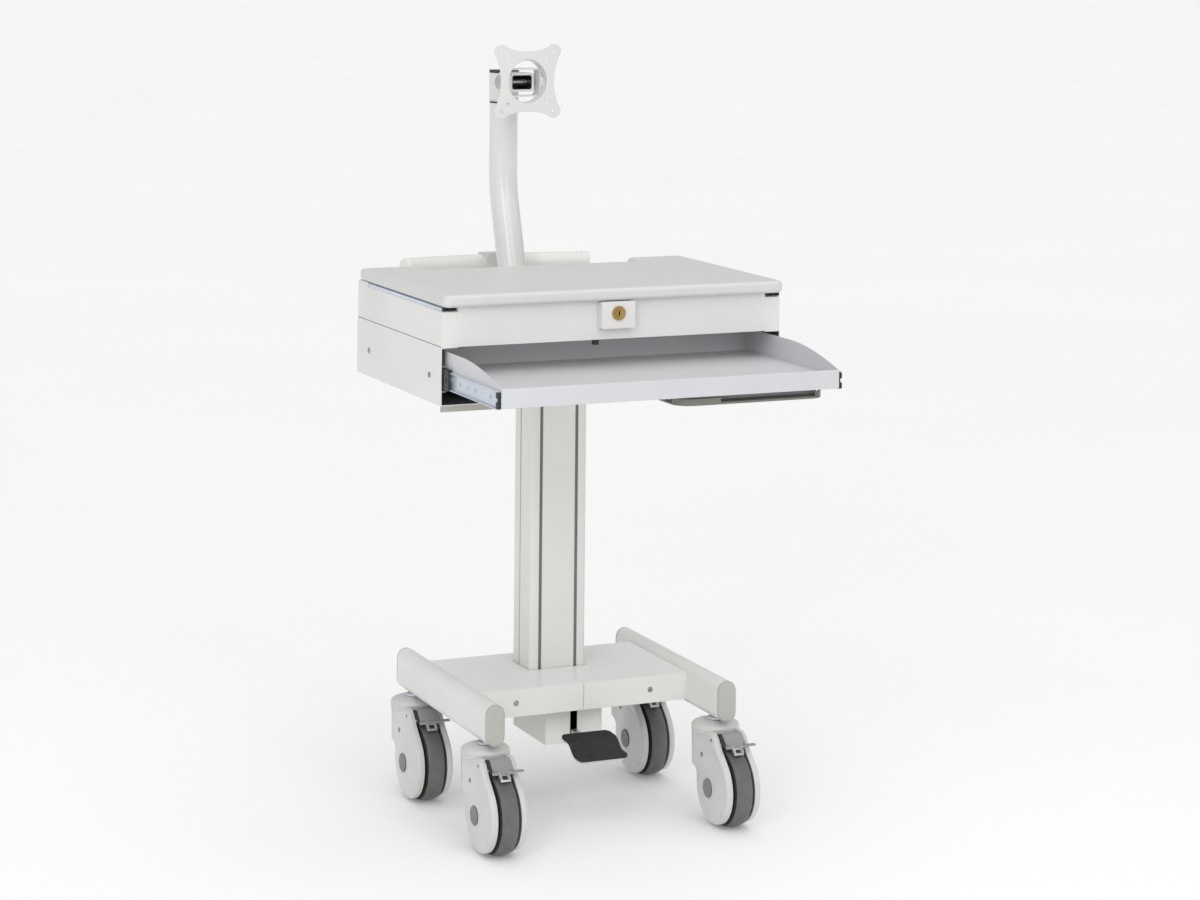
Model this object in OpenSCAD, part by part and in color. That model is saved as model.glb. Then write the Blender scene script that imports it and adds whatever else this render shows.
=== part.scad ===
// Height-adjustable medication cart with a keyboard drawer, a sliding worktop
// over a lockable compartment, and a monitor head on a bent post.
// Origin: on the floor, at the centre of the cart's outline with its drawer out.
// +Z up, the user stands on the -Y side (the front), +X is the user's right.
// The modules work in a frame whose origin is between the four legs; place()
// then moves everything to the cart's own origin.

/* [Housing and worktop] */
// Width of the upper housing
body_w = 576; // [560:2:592]
// Depth of the housings
body_d = 383.6; // [376:0.2:392]
// Thickness of the worktop
top_t = 19; // [16:0.5:22]
// How far the worktop stands proud of the housing at the front
top_overhang = 16; // [10:1:24]
// Half width of the notch in the worktop's rear edge
notch_half = 189; // [120:1:220]
// Depth of the notch in the worktop's rear edge
notch_d = 54; // [30:1:60]

/* [Column and base] */
// Width of the column extrusion
col_w = 98; // [94:1:102]
// Depth of the column extrusion
col_d = 73; // [68:1:76]
// Length of each leg, without its end caps
leg_len = 390; // [380:2:400]
// Height of the legs' stadium section
leg_h = 64.5; // [62:0.5:68]
// Width of the legs' stadium section
leg_w = 31; // [28:0.5:34]
// Distance of each leg from the centre plane
leg_x = 197; // [190:1:210]

/* [Casters] */
// Wheel radius
wheel_r = 62.5; // [60:0.5:62.5]
// Tyre width
tyre_w = 32; // [28:1:34]
// Distance of the swivel axes from the middle of the legs
caster_y = 157.5; // [150:0.5:160]
// Trail of the wheel from its swivel axis, towards -Y
trail = 48; // [44:1:52]

/* [Keyboard drawer] */
// Half width of the keyboard tray
tray_half = 278.5; // [276:0.5:279]
// Depth of the keyboard tray
tray_d = 316; // [280:2:330]
// How far the tray is pulled out at rest
tray_out = 220; // [200:1:230]

/* [Monitor head] */
// Outer radius of the monitor post
post_r = 24.15; // [22:0.05:25]
// Pan angle of the head at rest
pan = 7.4; // [0:0.1:15]
// Distance from the post to the front of the mounting plate
head_reach = 82; // [80:1:90]

/* [Hidden] */

$fn = 48;
gap = 0.05; // clearance between mating pieces
sheet = 1.5; // sheet metal thickness

// In names, _x is a half width about the centre plane or a distance from it,
// _y0 and _y1 are a front and back end, _z0 and _z1 a bottom and top.

// housings
body_x = body_w / 2;
body_y0 = -191.4;
body_y1 = body_y0 + body_d;
lower_x = body_x + 1;
lower_z0 = 684;
seam_z = 773.2; // where the two housings meet
ledge_z = 826.8;
top_z0 = 834.5; // underside of the worktop

// tray
tray_y0 = body_y0 - tray_out;
tray_y1 = tray_y0 + tray_d;

// handle
handle_y = 322;
handle_z = 837;
handle_block_d = 37;

// from the middle of the legs to the middle of the cart's outline
origin_y = -(tray_y0 + handle_y + handle_block_d / 2) / 2;

paint = [0.87, 0.86, 0.84];
tray_coat = [0.81, 0.82, 0.83];
aluminium = [0.84, 0.83, 0.81];
cap_plastic = [0.67, 0.68, 0.65];
zinc = [0.75, 0.80, 0.85];
black = [0.13, 0.13, 0.13];
cylinder_black = [0.2, 0.2, 0.21];
brass = [0.72, 0.60, 0.32];
tyre_grey = [0.38, 0.38, 0.36];
grey = [0.55, 0.55, 0.54];
top_grey = [0.82, 0.815, 0.81];
head_grey = [0.82, 0.82, 0.81];
mount_grey = [0.86, 0.86, 0.85];
handle_white = [0.89, 0.89, 0.88];
white = [0.9, 0.9, 0.89];

module place() translate([0, origin_y, 0]) children();

// ---------- helpers ----------

module at_corners(x, y)
  for (sx = [-1, 1], sy = [-1, 1]) translate([sx * x, sy * y]) children();

module both_sides() {
  children();
  mirror([1, 0, 0]) children();
}

module round_rect(w, d, r) {
  square([w - 2 * r, d], center = true);
  square([w, d - 2 * r], center = true);
  at_corners(w / 2 - r, d / 2 - r) circle(r);
}

module round_box(w, d, h, r) linear_extrude(h) round_rect(w, d, r);

module stadium(w, h) {
  square([w, h - w], center = true);
  for (side = [-1, 1]) translate([0, side * (h - w) / 2]) circle(w / 2);
}

module ring(outer_r, inner_r) difference() {
  circle(outer_r, $fn = 96);
  circle(inner_r, $fn = 96);
}

// box from its two corners
module box(low, high) translate(low) cube(high - low);

// profile given as (y, z), extruded along x
module extrude_x(x0, x1)
  translate([x0, 0, 0]) rotate([90, 0, 90]) linear_extrude(x1 - x0) children();

// profile given as (x, z), extruded towards -Y
module extrude_front(length) rotate([90, 0, 0]) linear_extrude(length) children();

module rod_x(r, x0, x1)
  translate([x0, 0, 0]) rotate([0, 90, 0]) cylinder(h = x1 - x0, r = r);

module rod_y(r, back, front)
  translate([0, back, 0]) rotate([90, 0, 0]) cylinder(h = back - front, r = r);

// ---------- base ----------

leg_z = 192.5; // middle of the legs' section
leg_z0 = leg_z - leg_h / 2;
leg_wall = 2.5;
leg_inner_x = leg_x - leg_w / 2;
stem_r = 6;
swivel_r = 10;
cover_z0 = 171.2;
cover_z1 = 213.9;
cover_y0 = -84;
cover_y1 = 141;
inside_y0 = cover_y0 + sheet;
inside_y1 = cover_y1 - sheet;
plate_z0 = 206;
plate_z1 = 211;
col_y = 24 + col_d / 2; // middle of the column extrusion
gas_y = 57; // axis of the gas spring
rod_r = 5;

module at_cover_screws()
  for (side = [-1, 1]) translate([side * 116, 0, leg_z]) children();

module base_cover() color(paint) difference() {
  box([-leg_inner_x, cover_y0, cover_z0], [leg_inner_x, cover_y1, cover_z1]);
  box([-leg_inner_x - 1, inside_y0, cover_z0 - 1],
    [leg_inner_x + 1, inside_y1, cover_z1 - sheet]);
  translate([0, col_y, cover_z1 - 5]) round_box(col_w + 3, col_d + 3, 10, 7);
  // slit down the middle of the front
  box([-0.4, cover_y0 - 1, cover_z0 - 1], [0.4, inside_y0 + 0.1, cover_z1 - sheet]);
  at_cover_screws() rod_y(2.6, cover_y1 + 1, cover_y0 - 1);
}

// rectangular tube from leg to leg
module cross_beam(y) {
  depth = 30;
  wall = 2;
  z0 = 176;
  difference() {
    box([-leg_inner_x, y, z0], [leg_inner_x, y + depth, plate_z0]);
    box([-leg_inner_x - 1, y + wall, z0 + wall],
      [leg_inner_x + 1, y + depth - wall, plate_z0 - wall]);
  }
}

module base_frame() color(grey) difference() {
  union() {
    for (y = [inside_y0, inside_y1 - 30]) cross_beam(y);
    box([-75, inside_y0, plate_z0], [75, inside_y1, plate_z1]);
  }
  translate([0, gas_y, plate_z0 - 1]) cylinder(h = 10, r = rod_r + gap);
  at_cover_screws() {
    rod_y(2.1, inside_y0 + 3, inside_y0 - 1);
    rod_y(2.1, inside_y1 + 1, inside_y1 - 3);
  }
}

module cover_screws() color(zinc) at_cover_screws()
  for (s = [0, 1]) translate([0, s * (cover_y0 + cover_y1), 0]) mirror([0, s, 0]) {
    rod_y(2, inside_y0 + 8, cover_y0);
    translate([0, cover_y0, 0]) rotate([90, 0, 0]) cylinder(h = 1.6, r1 = 4.6, r2 = 3);
  }

module leg_tube() difference() {
  translate([0, leg_len / 2, 0]) extrude_front(leg_len) difference() {
    stadium(leg_w, leg_h);
    stadium(leg_w - 2 * leg_wall, leg_h - 2 * leg_wall);
  }
  for (side = [-1, 1]) translate([0, side * caster_y, -leg_h / 2 - 1])
    cylinder(h = 6, r = stem_r + gap);
}

module legs() color(paint)
  for (side = [-1, 1]) translate([side * leg_x, 0, leg_z]) leg_tube();

// cap for a leg's front end, with a plug reaching into the leg
module end_cap() {
  face_t = 5;
  plug_len = 10;
  rotate([90, 0, 0]) {
    linear_extrude(face_t) stadium(leg_w, leg_h);
    translate([0, 0, face_t]) linear_extrude(1.5) stadium(leg_w - 2.4, leg_h - 2.4);
    translate([0, 0, -plug_len]) linear_extrude(plug_len) stadium(leg_w - 5.2, leg_h - 5.2);
  }
}

module leg_end_caps() color(cap_plastic)
  for (side = [-1, 1], s = [0, 1]) translate([side * leg_x, 0, leg_z])
    mirror([0, s, 0]) translate([0, -leg_len / 2, 0]) end_cap();

// height at which a disc rests on the rounded bottom inside a leg
function rest_z(disc_r) =
  leg_z0 + leg_w / 2 - sqrt(pow(leg_w / 2 - leg_wall, 2) - disc_r * disc_r);

module caster_stems() color(zinc) {
  swivel_z0 = 127.5;
  washer_r = 8;
  nut_r = 11;
  at_corners(leg_x, caster_y) {
    translate([0, 0, swivel_z0]) cylinder(h = leg_z0 - swivel_z0 - 3.5, r = swivel_r);
    translate([0, 0, leg_z0 - 3.6]) cylinder(h = 3.6, r = 13);
    translate([0, 0, leg_z0 - 1]) cylinder(h = 24, r = stem_r);
    translate([0, 0, rest_z(washer_r) + 0.1]) cylinder(h = 6, r = washer_r);
    translate([0, 0, rest_z(nut_r) + 0.4]) cylinder(h = 9, r = nut_r, $fn = 6);
  }
}

// ---------- column and gas spring ----------

col_z1 = 672;
col_wall = 7;
cavity_w = col_w - 2 * col_wall;
cavity_d = col_d - 2 * col_wall;
inner_w = cavity_w - 4;
inner_d = cavity_d - 4;
flange_z = lower_z0 - 6; // underside of the flange on the inner column
release_r = 2;

module column_outer() color(aluminium)
  translate([0, col_y, plate_z1]) linear_extrude(col_z1 - plate_z1) difference() {
    round_rect(col_w, col_d, 6);
    round_rect(cavity_w, cavity_d, 3);
    // grooves: two at the front, two at the back, one on each side
    for (side = [-1, 1]) {
      translate([side * 31, -col_d / 2]) square([5.4, 9], center = true);
      translate([side * 31, col_d / 2]) square([5.4, 9], center = true);
      translate([side * col_w / 2, 8.5]) square([9, 4.4], center = true);
    }
  }

module column_guides() color(black)
  translate([0, col_y, 592]) linear_extrude(79) difference() {
    round_rect(cavity_w - 2 * gap, cavity_d - 2 * gap, 3);
    round_rect(inner_w + 2 * gap, inner_d + 2 * gap, 4);
  }

module gas_rod() color(zinc) translate([0, gas_y, 0]) difference() {
  union() {
    translate([0, 0, 161]) cylinder(h = 479, r = rod_r);
    translate([0, 0, 628]) cylinder(h = 12, r = 10.9);
    // nuts below and above the base plate
    for (z = [plate_z0 - 6, plate_z1]) translate([0, 0, z]) cylinder(h = 6, r = 10, $fn = 6);
  }
  translate([0, 0, 160]) cylinder(h = 35, r = release_r + gap);
}

module release_pin() color(zinc)
  translate([0, gas_y, 155.6]) cylinder(h = 32, r = release_r);

module column_inner() color(aluminium) translate([0, col_y, 0]) {
  z0 = 240;
  wall = 2.5;
  difference() {
    union() {
      translate([0, 0, z0]) round_box(inner_w, inner_d, flange_z - z0, 4);
      translate([0, 0, flange_z]) round_box(170, 120, 6, 8);
    }
    translate([0, 0, z0 - 1])
      round_box(inner_w - 2 * wall, inner_d - 2 * wall, flange_z - z0 + 1, 2);
  }
}

module gas_cylinder() color(cylinder_black) translate([0, gas_y, 0]) difference() {
  union() {
    translate([0, 0, 260]) cylinder(h = 410, r = 14);
    translate([0, 0, 669]) cylinder(h = flange_z - 669, r = 8);
  }
  translate([0, 0, 259]) cylinder(h = 14, r = rod_r + gap);
  translate([0, 0, 272]) cylinder(h = 392, r = 11);
}

// ---------- pedal ----------

pivot_r = 4;
pedal_box_x = 49;
pad_y1 = -86;
pad_len = 84;
pad_steps = 14;

// lever arm and tail, (y, z)
lever_outline = [
  [-134, 118.6], [-118, 128], [-90, 129.8], [-45, 131], [-20, 136], [8, 153],
  [46, 155.4], [61, 155.4], [61, 148], [40, 143], [14, 141.5],
  [-16, 124.4], [-45, 121], [-90, 119], [-128, 113]];

module at_pivot() translate([0, 25, 152]) children();

module pedal_housing() color(paint) {
  y0 = -45;
  y1 = 90;
  z0 = 110;
  wall = 2;
  difference() {
    box([-pedal_box_x, y0, z0], [pedal_box_x, y1, plate_z0]);
    box([wall - pedal_box_x, y0 + wall, z0 + wall],
      [pedal_box_x - wall, y1 - wall, plate_z0 + 1]);
    // slot for the lever
    box([-6, y0 - 1, 112.5], [6, y0 + 3, 167]);
    at_pivot() rod_x(pivot_r + gap, -60, 60);
  }
}

module pedal_pivot_pin() color(zinc) at_pivot() {
  head_x1 = pedal_box_x + 3;
  rod_x(pivot_r, -head_x1, head_x1);
  both_sides() rod_x(6.5, pedal_box_x + 0.1, head_x1);
}

// height of the pad's upper face: a gentle slope with a smooth step down
function pad_z(y) =
  let (
    along = (pad_y1 - y) / pad_len,
    step = min(1, max(0, (along - 0.36) / 0.34)))
  137 - 4.5 * along - 14.5 * step * step * (3 - 2 * step);

// points along the pad, at a depth below its upper face
function pad_line(depth, steps) =
  [for (i = steps) let (y = pad_y1 - pad_len * i / pad_steps) [y, pad_z(y) - depth]];

// layer between two depths below the pad's upper face, with rounded corners
module pad_layer(half, corner_r, top, bottom) intersection() {
  extrude_x(-half, half)
    polygon(concat(pad_line(top, [0:pad_steps]), pad_line(bottom, [pad_steps:-1:0])));
  translate([0, pad_y1 - pad_len / 2, 90]) round_box(2 * half, 2 * half, 60, corner_r);
}

module pedal_lever() color(grey) difference() {
  union() {
    // plate under the pad
    pad_layer(half = 40, corner_r = 10, top = 5, bottom = 8);
    extrude_x(-5, 5) polygon(lever_outline);
    at_pivot() rod_x(9, -14, 14);
  }
  at_pivot() rod_x(pivot_r + gap, -20, 20);
}

module pedal_pad() color(black) pad_layer(half = 42, corner_r = 11, top = 0, bottom = 5);

// ---------- housings ----------

wall_x = lower_x - sheet; // inner face of the lower housing's side wall
rail_w = 25;
lock_z = 815;
barrel_r = 9.5;
plug_r = 6.2;
back_bolt_r = 3;

module at_side_screws()
  for (y = [-142, 134.5]) translate([0, y, 725.5]) children();

module at_back_bolts()
  for (x = [-40, 40], z = [715, 750]) translate([x, 0, z]) children();

module at_lock() translate([0, 0, lock_z]) children();

// box open at the front and the top
module lower_housing() color(paint) difference() {
  union() {
    difference() {
      box([-lower_x, body_y0, lower_z0], [lower_x, body_y1, seam_z]);
      box([-wall_x, body_y0 - 1, lower_z0 + sheet], [wall_x, body_y1 - sheet, seam_z + 1]);
    }
    // lip below the front edge of the floor
    box([-lower_x, body_y0, lower_z0 - 9], [lower_x, body_y0 + sheet, lower_z0 + 1]);
    // flanges along the tops of the side walls
    both_sides()
      box([lower_x - 27, body_y0, seam_z - sheet], [lower_x - 1, body_y1 - 1, seam_z]);
  }
  at_side_screws() rod_x(2.6, -lower_x - 1, lower_x + 1);
  at_back_bolts() rod_y(back_bolt_r + 0.1, body_y1 + 1, body_y1 - 3);
}

// box open at the top
module upper_housing() color(paint) {
  step_x = body_x - rail_w - 1;
  difference() {
    union() {
      difference() {
        box([-body_x, body_y0, seam_z], [body_x, body_y1, top_z0 - 0.6]);
        box([sheet - body_x, body_y0 + sheet, seam_z + sheet],
          [body_x - sheet, body_y1 - sheet, top_z0 + 1]);
      }
      // ledges that carry the worktop slides
      both_sides() box([step_x, body_y0, ledge_z - sheet], [body_x - 0.5, body_y1 - 1, ledge_z]);
    }
    // steps in the side walls for the worktop slides
    both_sides() box([step_x, body_y0 - 1, ledge_z], [body_x + 1, 145, top_z0 + 1]);
    at_lock() rod_y(barrel_r + gap, body_y0 + 3, body_y0 - 1);
  }
}

module housing_screws() color(zinc) {
  at_side_screws() both_sides() {
    rod_x(2.5, lower_x - 1.4, lower_x);
    translate([lower_x, 0, 0]) rotate([0, 90, 0]) cylinder(h = 1.6, r1 = 5, r2 = 3.4);
  }
  at_back_bolts() {
    rod_y(back_bolt_r, body_y1 + 6, body_y1 - 6);
    rod_y(5.5, body_y1 + 9, body_y1 + 5, $fn = 6);
  }
}

module drawer_catch() color(black)
  box([-35, body_y0 + 2, 765], [-26, body_y0 + 9, seam_z]);

module lock_housing() color(paint) difference() {
  translate([0, body_y0, 812]) extrude_front(15) round_rect(57, 42, 2);
  at_lock() rod_y(barrel_r + gap, body_y0 + 3, body_y0 - 20);
}

module lock_barrel() color(brass) at_lock() difference() {
  union() {
    rod_y(barrel_r, -179, body_y0 - 15.2);
    rod_y(11.2, body_y0 - 15, body_y0 - 17.2);
  }
  rod_y(plug_r + gap, -178, body_y0 - 18);
}

module lock_plug() color(brass) at_lock() difference() {
  union() {
    rod_y(plug_r, -176, body_y0 - 17.6);
    // cam, pointing towards +X
    box([-7, -178.8, -6], [22, -176.4, 6]);
  }
  // keyway
  box([-1, body_y0 - 18, -4], [1, body_y0 - 6, 4]);
}

// ---------- slides ----------

slide_t = 1.2;
tray_slide_len = 350;
top_slide_y0 = -188;
top_slide_y1 = 143;

// fixed channel of each drawer slide, on the housing's inner wall
module tray_rails_fixed() color(zinc) both_sides() {
  y0 = -189;
  y1 = y0 + tray_slide_len;
  box([wall_x - 1.1, y0, 705], [wall_x, y1, 744]);
  for (z = [705, 742.8]) box([wall_x - 7.5, y0, z], [wall_x, y1, z + slide_t]);
}

module rail_ball_cages() color(black) both_sides()
  for (z = [707.2, 738.3]) box([wall_x - 7, -198, z], [wall_x - 1.4, -98, z + 3.6]);

module tray_rails_moving() color(zinc) both_sides() {
  x0 = tray_half + 0.05;
  y0 = tray_y0 + 3;
  y1 = y0 + tray_slide_len;
  difference() {
    union() {
      box([x0, y0, 711], [x0 + slide_t, y1, 738]);
      for (z = [711, 736.8]) box([x0, y0, z], [tray_half + 5.6, y1, z + slide_t]);
    }
    for (y = [40, 130, 300])
      translate([0, tray_y0 + y, 724.5]) rod_x(2.2, tray_half - 1, tray_half + 3);
  }
}

// fixed channel of each worktop slide, lying flat on the ledge
module worktop_rails_fixed() color(zinc) both_sides() {
  x0 = body_x - rail_w + 0.4;
  x1 = body_x - 0.3;
  side_t = 1.3;
  box([x0, top_slide_y0, ledge_z], [x1, top_slide_y1, ledge_z + slide_t]);
  for (x = [x0, x1 - side_t])
    box([x, top_slide_y0, ledge_z], [x + side_t, top_slide_y1, ledge_z + 6.2]);
}

module worktop_rails_moving() color(zinc) both_sides() {
  x0 = body_x - rail_w + 4.5;
  x1 = body_x - 4.6;
  box([x0, top_slide_y0, top_z0 - slide_t], [x1, top_slide_y1, top_z0]);
  for (x = [x0, x1 - slide_t])
    box([x, top_slide_y0, ledge_z + 2.2], [x + slide_t, top_slide_y1, top_z0]);
}

// ---------- worktop ----------

worktop_y1 = 184;

// rectangle with one corner radius at the front and another at the back
module worktop_outline(x, y0, y1, front_r, back_r) {
  translate([-x, y0 + front_r]) square([2 * x, y1 - y0 - front_r - back_r]);
  translate([front_r - x, y0]) square([2 * (x - front_r), front_r + 1]);
  translate([back_r - x, y1 - back_r - 1]) square([2 * (x - back_r), back_r + 1]);
  for (side = [-1, 1]) {
    translate([side * (x - front_r), y0 + front_r]) circle(front_r);
    translate([side * (x - back_r), y1 - back_r]) circle(back_r);
  }
}

// plate with half-round edges and rounded corners
module worktop_blank() {
  half = body_x + 2;
  y0 = body_y0 - top_overhang;
  depth = worktop_y1 - y0;
  mid_z = top_z0 + top_t / 2;
  trim = 0.4; // flat left on the half-round edges
  intersection() {
    translate([0, 0, top_z0 - 1]) linear_extrude(top_t + 2)
      worktop_outline(half - trim, y0 + trim, worktop_y1 - trim, 13, 7);
    extrude_x(-half - 5, half + 5)
      translate([(y0 + worktop_y1) / 2, mid_z]) rotate(90) stadium(top_t, depth);
    translate([0, worktop_y1 + 5, mid_z]) extrude_front(depth + 10)
      rotate(90) stadium(top_t, 2 * half);
  }
}

module worktop() color(top_grey) difference() {
  worktop_blank();
  // notch for the post and the handle, cut from 80 mm behind the rear edge
  translate([0, worktop_y1 + 40, top_z0 - 1])
    round_box(2 * notch_half, 80 + 2 * notch_d, top_t + 2, 14);
  // pocket behind the lock
  box([-12.5, -183, top_z0 - 1], [12.5, -172, top_z0 + 6]);
}

// ---------- drawer ----------

tray_t = 1.2;
tray_floor_z1 = 730;
lip_z0 = 712.5;
lip_z1 = 741.2;
tray_wall_z1 = 766;
guide_ys = [tray_y0 + 42, tray_y0 + 180];

// outline of a tray side wall: level at the back, falling in an arc to the lip
module tray_side() {
  fall_y = -255; // where the arc starts
  front = tray_y0 + 2;
  steps = 10;
  polygon(concat(
    [[tray_y1, lip_z0], [tray_y1, tray_wall_z1], [fall_y, tray_wall_z1]],
    [for (i = [1:steps]) let (along = i / steps)
      [fall_y + (front - fall_y) * along,
        tray_wall_z1 - (tray_wall_z1 - lip_z1) * pow(along, 1.75)]],
    [[front, lip_z0]]));
}

// box section under the tray, slotted along its bottom
module guide_channel(y) difference() {
  box([14, y - 10, 702], [256, y + 10, tray_floor_z1 - tray_t]);
  box([13, y - 8.6, 703.8], [257, y + 8.6, tray_floor_z1 - 3]);
  box([13, y - 3.4, 701], [257, y + 3.4, 704]);
}

module keyboard_tray() color(tray_coat) {
  box([-tray_half, tray_y0, tray_floor_z1 - tray_t], [tray_half, tray_y1, tray_floor_z1]);
  both_sides() extrude_x(tray_half - tray_t, tray_half) tray_side();
  box([-tray_half, tray_y1 - tray_t, lip_z0], [tray_half, tray_y1, tray_wall_z1]);
  // front lip with a folded top edge
  box([-tray_half, tray_y0, lip_z0], [tray_half, tray_y0 + tray_t, lip_z1]);
  box([-tray_half, tray_y0, lip_z1 - tray_t], [tray_half, tray_y0 + 4, lip_z1]);
  for (y = guide_ys) guide_channel(y);
}

module mouse_tray() color(cap_plastic) {
  w = 251;
  d = 206;
  corner_r = 28;
  rim_t = 3;
  mid_x = 135.5;
  y0 = tray_y0 + 6;
  mid_y = y0 + d / 2;
  translate([mid_x, mid_y, 698.5]) round_box(w, d, 3, corner_r);
  difference() {
    translate([mid_x, mid_y, 701]) linear_extrude(8) difference() {
      round_rect(w, d, corner_r);
      round_rect(w - 2 * rim_t, d - 2 * rim_t, corner_r - rim_t);
    }
    // opening in the front of the rim
    box([81, y0 - 1, 701.6], [248, y0 + 5, 712]);
    // openings where the guide channels cross the rim
    for (y = guide_ys) box([mid_x - w, y - 11, 701.5], [mid_x + w, y + 11, 712]);
  }
  // T-shaped runners in the guide channels
  for (y = guide_ys) {
    box([34, y - 2.6, 701], [211, y + 2.6, 705]);
    box([34, y - 7.6, 704.4], [211, y + 7.6, 706.6]);
  }
}

// ---------- monitor post ----------

// path: vertical foot, S-bend, vertical head
post_foot_y = 221;
post_head_y = 278;
post_z0 = 700;
post_z1 = 1113;
bend_radius = 190;
bend_a = 18.3;
bend_rise = bend_radius * sin(bend_a);
bend_shift = bend_radius * (1 - cos(bend_a));
lean_y = post_head_y - post_foot_y - 2 * bend_shift; // covered by the leaning length
bend1_z = 766;
bend2_z = bend1_z + 2 * bend_rise + lean_y / tan(bend_a);
spigot_r = 15;
spigot_len = 42;

// one bend: starts vertical at the origin, leans to +Y
module post_bend(r)
  translate([0, bend_radius, 0]) rotate([90, 0, -90])
    rotate_extrude(angle = bend_a) translate([bend_radius, 0]) circle(r);

module post_path(r, z0, z1) {
  lean_len = lean_y / sin(bend_a);
  straight_r = r - 0.02; // the straight lengths run a hair inside the ends of the bends
  overlap = 0.5;
  translate([0, post_foot_y, z0]) cylinder(h = bend1_z - z0 + overlap, r = straight_r);
  translate([0, post_foot_y, bend1_z]) post_bend(r);
  translate([0, post_foot_y + bend_shift, bend1_z + bend_rise]) rotate([-bend_a, 0, 0])
    translate([0, 0, -overlap]) cylinder(h = lean_len + 2 * overlap, r = straight_r);
  translate([0, post_head_y, bend2_z]) rotate([180, 0, 0]) post_bend(r);
  translate([0, post_head_y, bend2_z - overlap])
    cylinder(h = z1 - bend2_z + overlap, r = straight_r);
}

module monitor_post() color(white) {
  difference() {
    post_path(post_r, post_z0, post_z1);
    post_path(post_r - 2.5, post_z0 - 1, post_z1 - 6);
  }
  translate([0, post_head_y, post_z1 - 1]) cylinder(h = spigot_len, r = spigot_r);
}

module post_bracket() color(paint) {
  block_y1 = 250;
  difference() {
    union() {
      box([-60, body_y1, 702], [60, body_y1 + 5, 764]);
      translate([0, (body_y1 + block_y1) / 2, 704]) round_box(68, block_y1 - body_y1, 58, 6);
    }
    translate([0, post_foot_y, 690]) cylinder(h = 90, r = post_r + gap);
    at_back_bolts() {
      rod_y(back_bolt_r + 0.1, body_y1 + 6, body_y1 - 1);
      rod_y(8, body_y1 + 70, body_y1 + 4.99);
    }
  }
}

// ---------- handle ----------

handle_arc_r = 667.8;
handle_r = 15;
handle_a = 14.75; // half the angle the handle spans

// side plate of the bracket, (y, z)
bracket_outline = [
  [250, 708], [250, 756], [304, 826], [322, 837], [338, 826], [338, 812], [276, 708]];

// centre of the handle's arc, turned to start at half_a to the right of the middle
module at_arc_start(half_a)
  translate([0, handle_y - handle_arc_r, handle_z]) rotate([0, 0, 90 - half_a]) children();

module handle_arc(r, half_a) at_arc_start(half_a)
  rotate_extrude(angle = 2 * half_a, $fn = 96)
    translate([handle_arc_r, 0]) circle(r, $fn = 40);

module handle_bracket() color(cap_plastic) difference() {
  union() {
    translate([0, handle_y, handle_z - 16.5]) round_box(42, handle_block_d, 33, 5);
    both_sides() extrude_x(13, 21) polygon(bracket_outline);
    box([-21, 250, 708], [21, 256, 756]);
  }
  handle_arc(handle_r + gap, 5);
}

module push_handle() color(handle_white) {
  handle_arc(handle_r, handle_a - 1.2);
  // thicker ends
  both_sides() at_arc_start(handle_a)
    rotate_extrude(angle = 1.25) translate([handle_arc_r, 0]) circle(handle_r + 0.7);
}

// ---------- monitor head (own frame: post axis at the origin, facing -Y) ----------

plate_z = 1153; // middle of the mounting plate
plate_t = 2.5;
knuckle_z = 1150.5;
knuckle_y = -42;
tilt_r = 5;
ear_r = 11;

module in_head() translate([0, post_head_y, 0]) rotate([0, 0, pan]) children();

module at_knuckle() translate([0, knuckle_y, knuckle_z]) children();

module head_block() color(head_grey) in_head() difference() {
  union() {
    translate([0, 0, post_z1 + 2.2]) round_box(40, 40, 48.4, 6);
    // neck and hollow arm towards the knuckle
    box([-18, -21, 1136], [18, -19, 1163]);
    difference() {
      translate([0, -20.05, knuckle_z]) extrude_front(41.95) round_rect(46, 32, 6);
      translate([0, -22, knuckle_z]) extrude_front(41) round_rect(38, 24, 4);
    }
  }
  translate([0, 0, post_z1]) cylinder(h = spigot_len, r = spigot_r + gap);
  at_knuckle() rod_x(tilt_r + gap, -30, 30);
}

// cap on top of the block and ring between the block and the post
module head_trim() color(black) in_head() {
  translate([0, 0, post_z1 + 50.6]) round_box(40, 40, 5, 6);
  translate([0, 0, post_z1 + 0.05]) difference() {
    cylinder(h = 2.15, r = post_r);
    translate([0, 0, -1]) cylinder(h = 5, r = spigot_r + gap);
  }
}

module tilt_frame() color(mount_grey) in_head() difference() {
  union() {
    translate([0, -52, knuckle_z]) extrude_front(20) difference() {
      round_rect(62, 48, 8);
      round_rect(57, 43, 6);
    }
    // ring that carries the plate, and its links to the frame
    translate([0, -67, plate_z]) extrude_front(11) ring(37.9, 35);
    both_sides() box([30.6, -72, knuckle_z - 7], [36.4, -68, knuckle_z + 9]);
    // ears to the tilt bolt
    both_sides() extrude_x(28.5, 31) {
      polygon([[-53, knuckle_z - ear_r], [-53, knuckle_z + ear_r],
        [knuckle_y, knuckle_z + ear_r], [knuckle_y, knuckle_z - ear_r]]);
      translate([knuckle_y, knuckle_z]) circle(ear_r);
    }
  }
  at_knuckle() rod_x(tilt_r + gap, -40, 40);
}

module tilt_bolt() color(zinc) in_head() at_knuckle() {
  rod_x(tilt_r, -36, 36);
  both_sides() {
    rod_x(11, 31 + gap, 35.5);
    rod_x(11.5, 23 + gap, 28.5 - gap);
  }
}

// plate outline: four concave sides between the corner lobes
module vesa_outline() {
  polygon([for (turn = [0:90:270]) for (i = [-8:8])
    let (t = i / 8, out = 50.5 + 11.5 * pow(abs(t), 2.2), along = 50 * t)
    [out * cos(turn) - along * sin(turn), out * sin(turn) + along * cos(turn)]]);
  at_corners(50, 50) circle(12.1);
}

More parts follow.
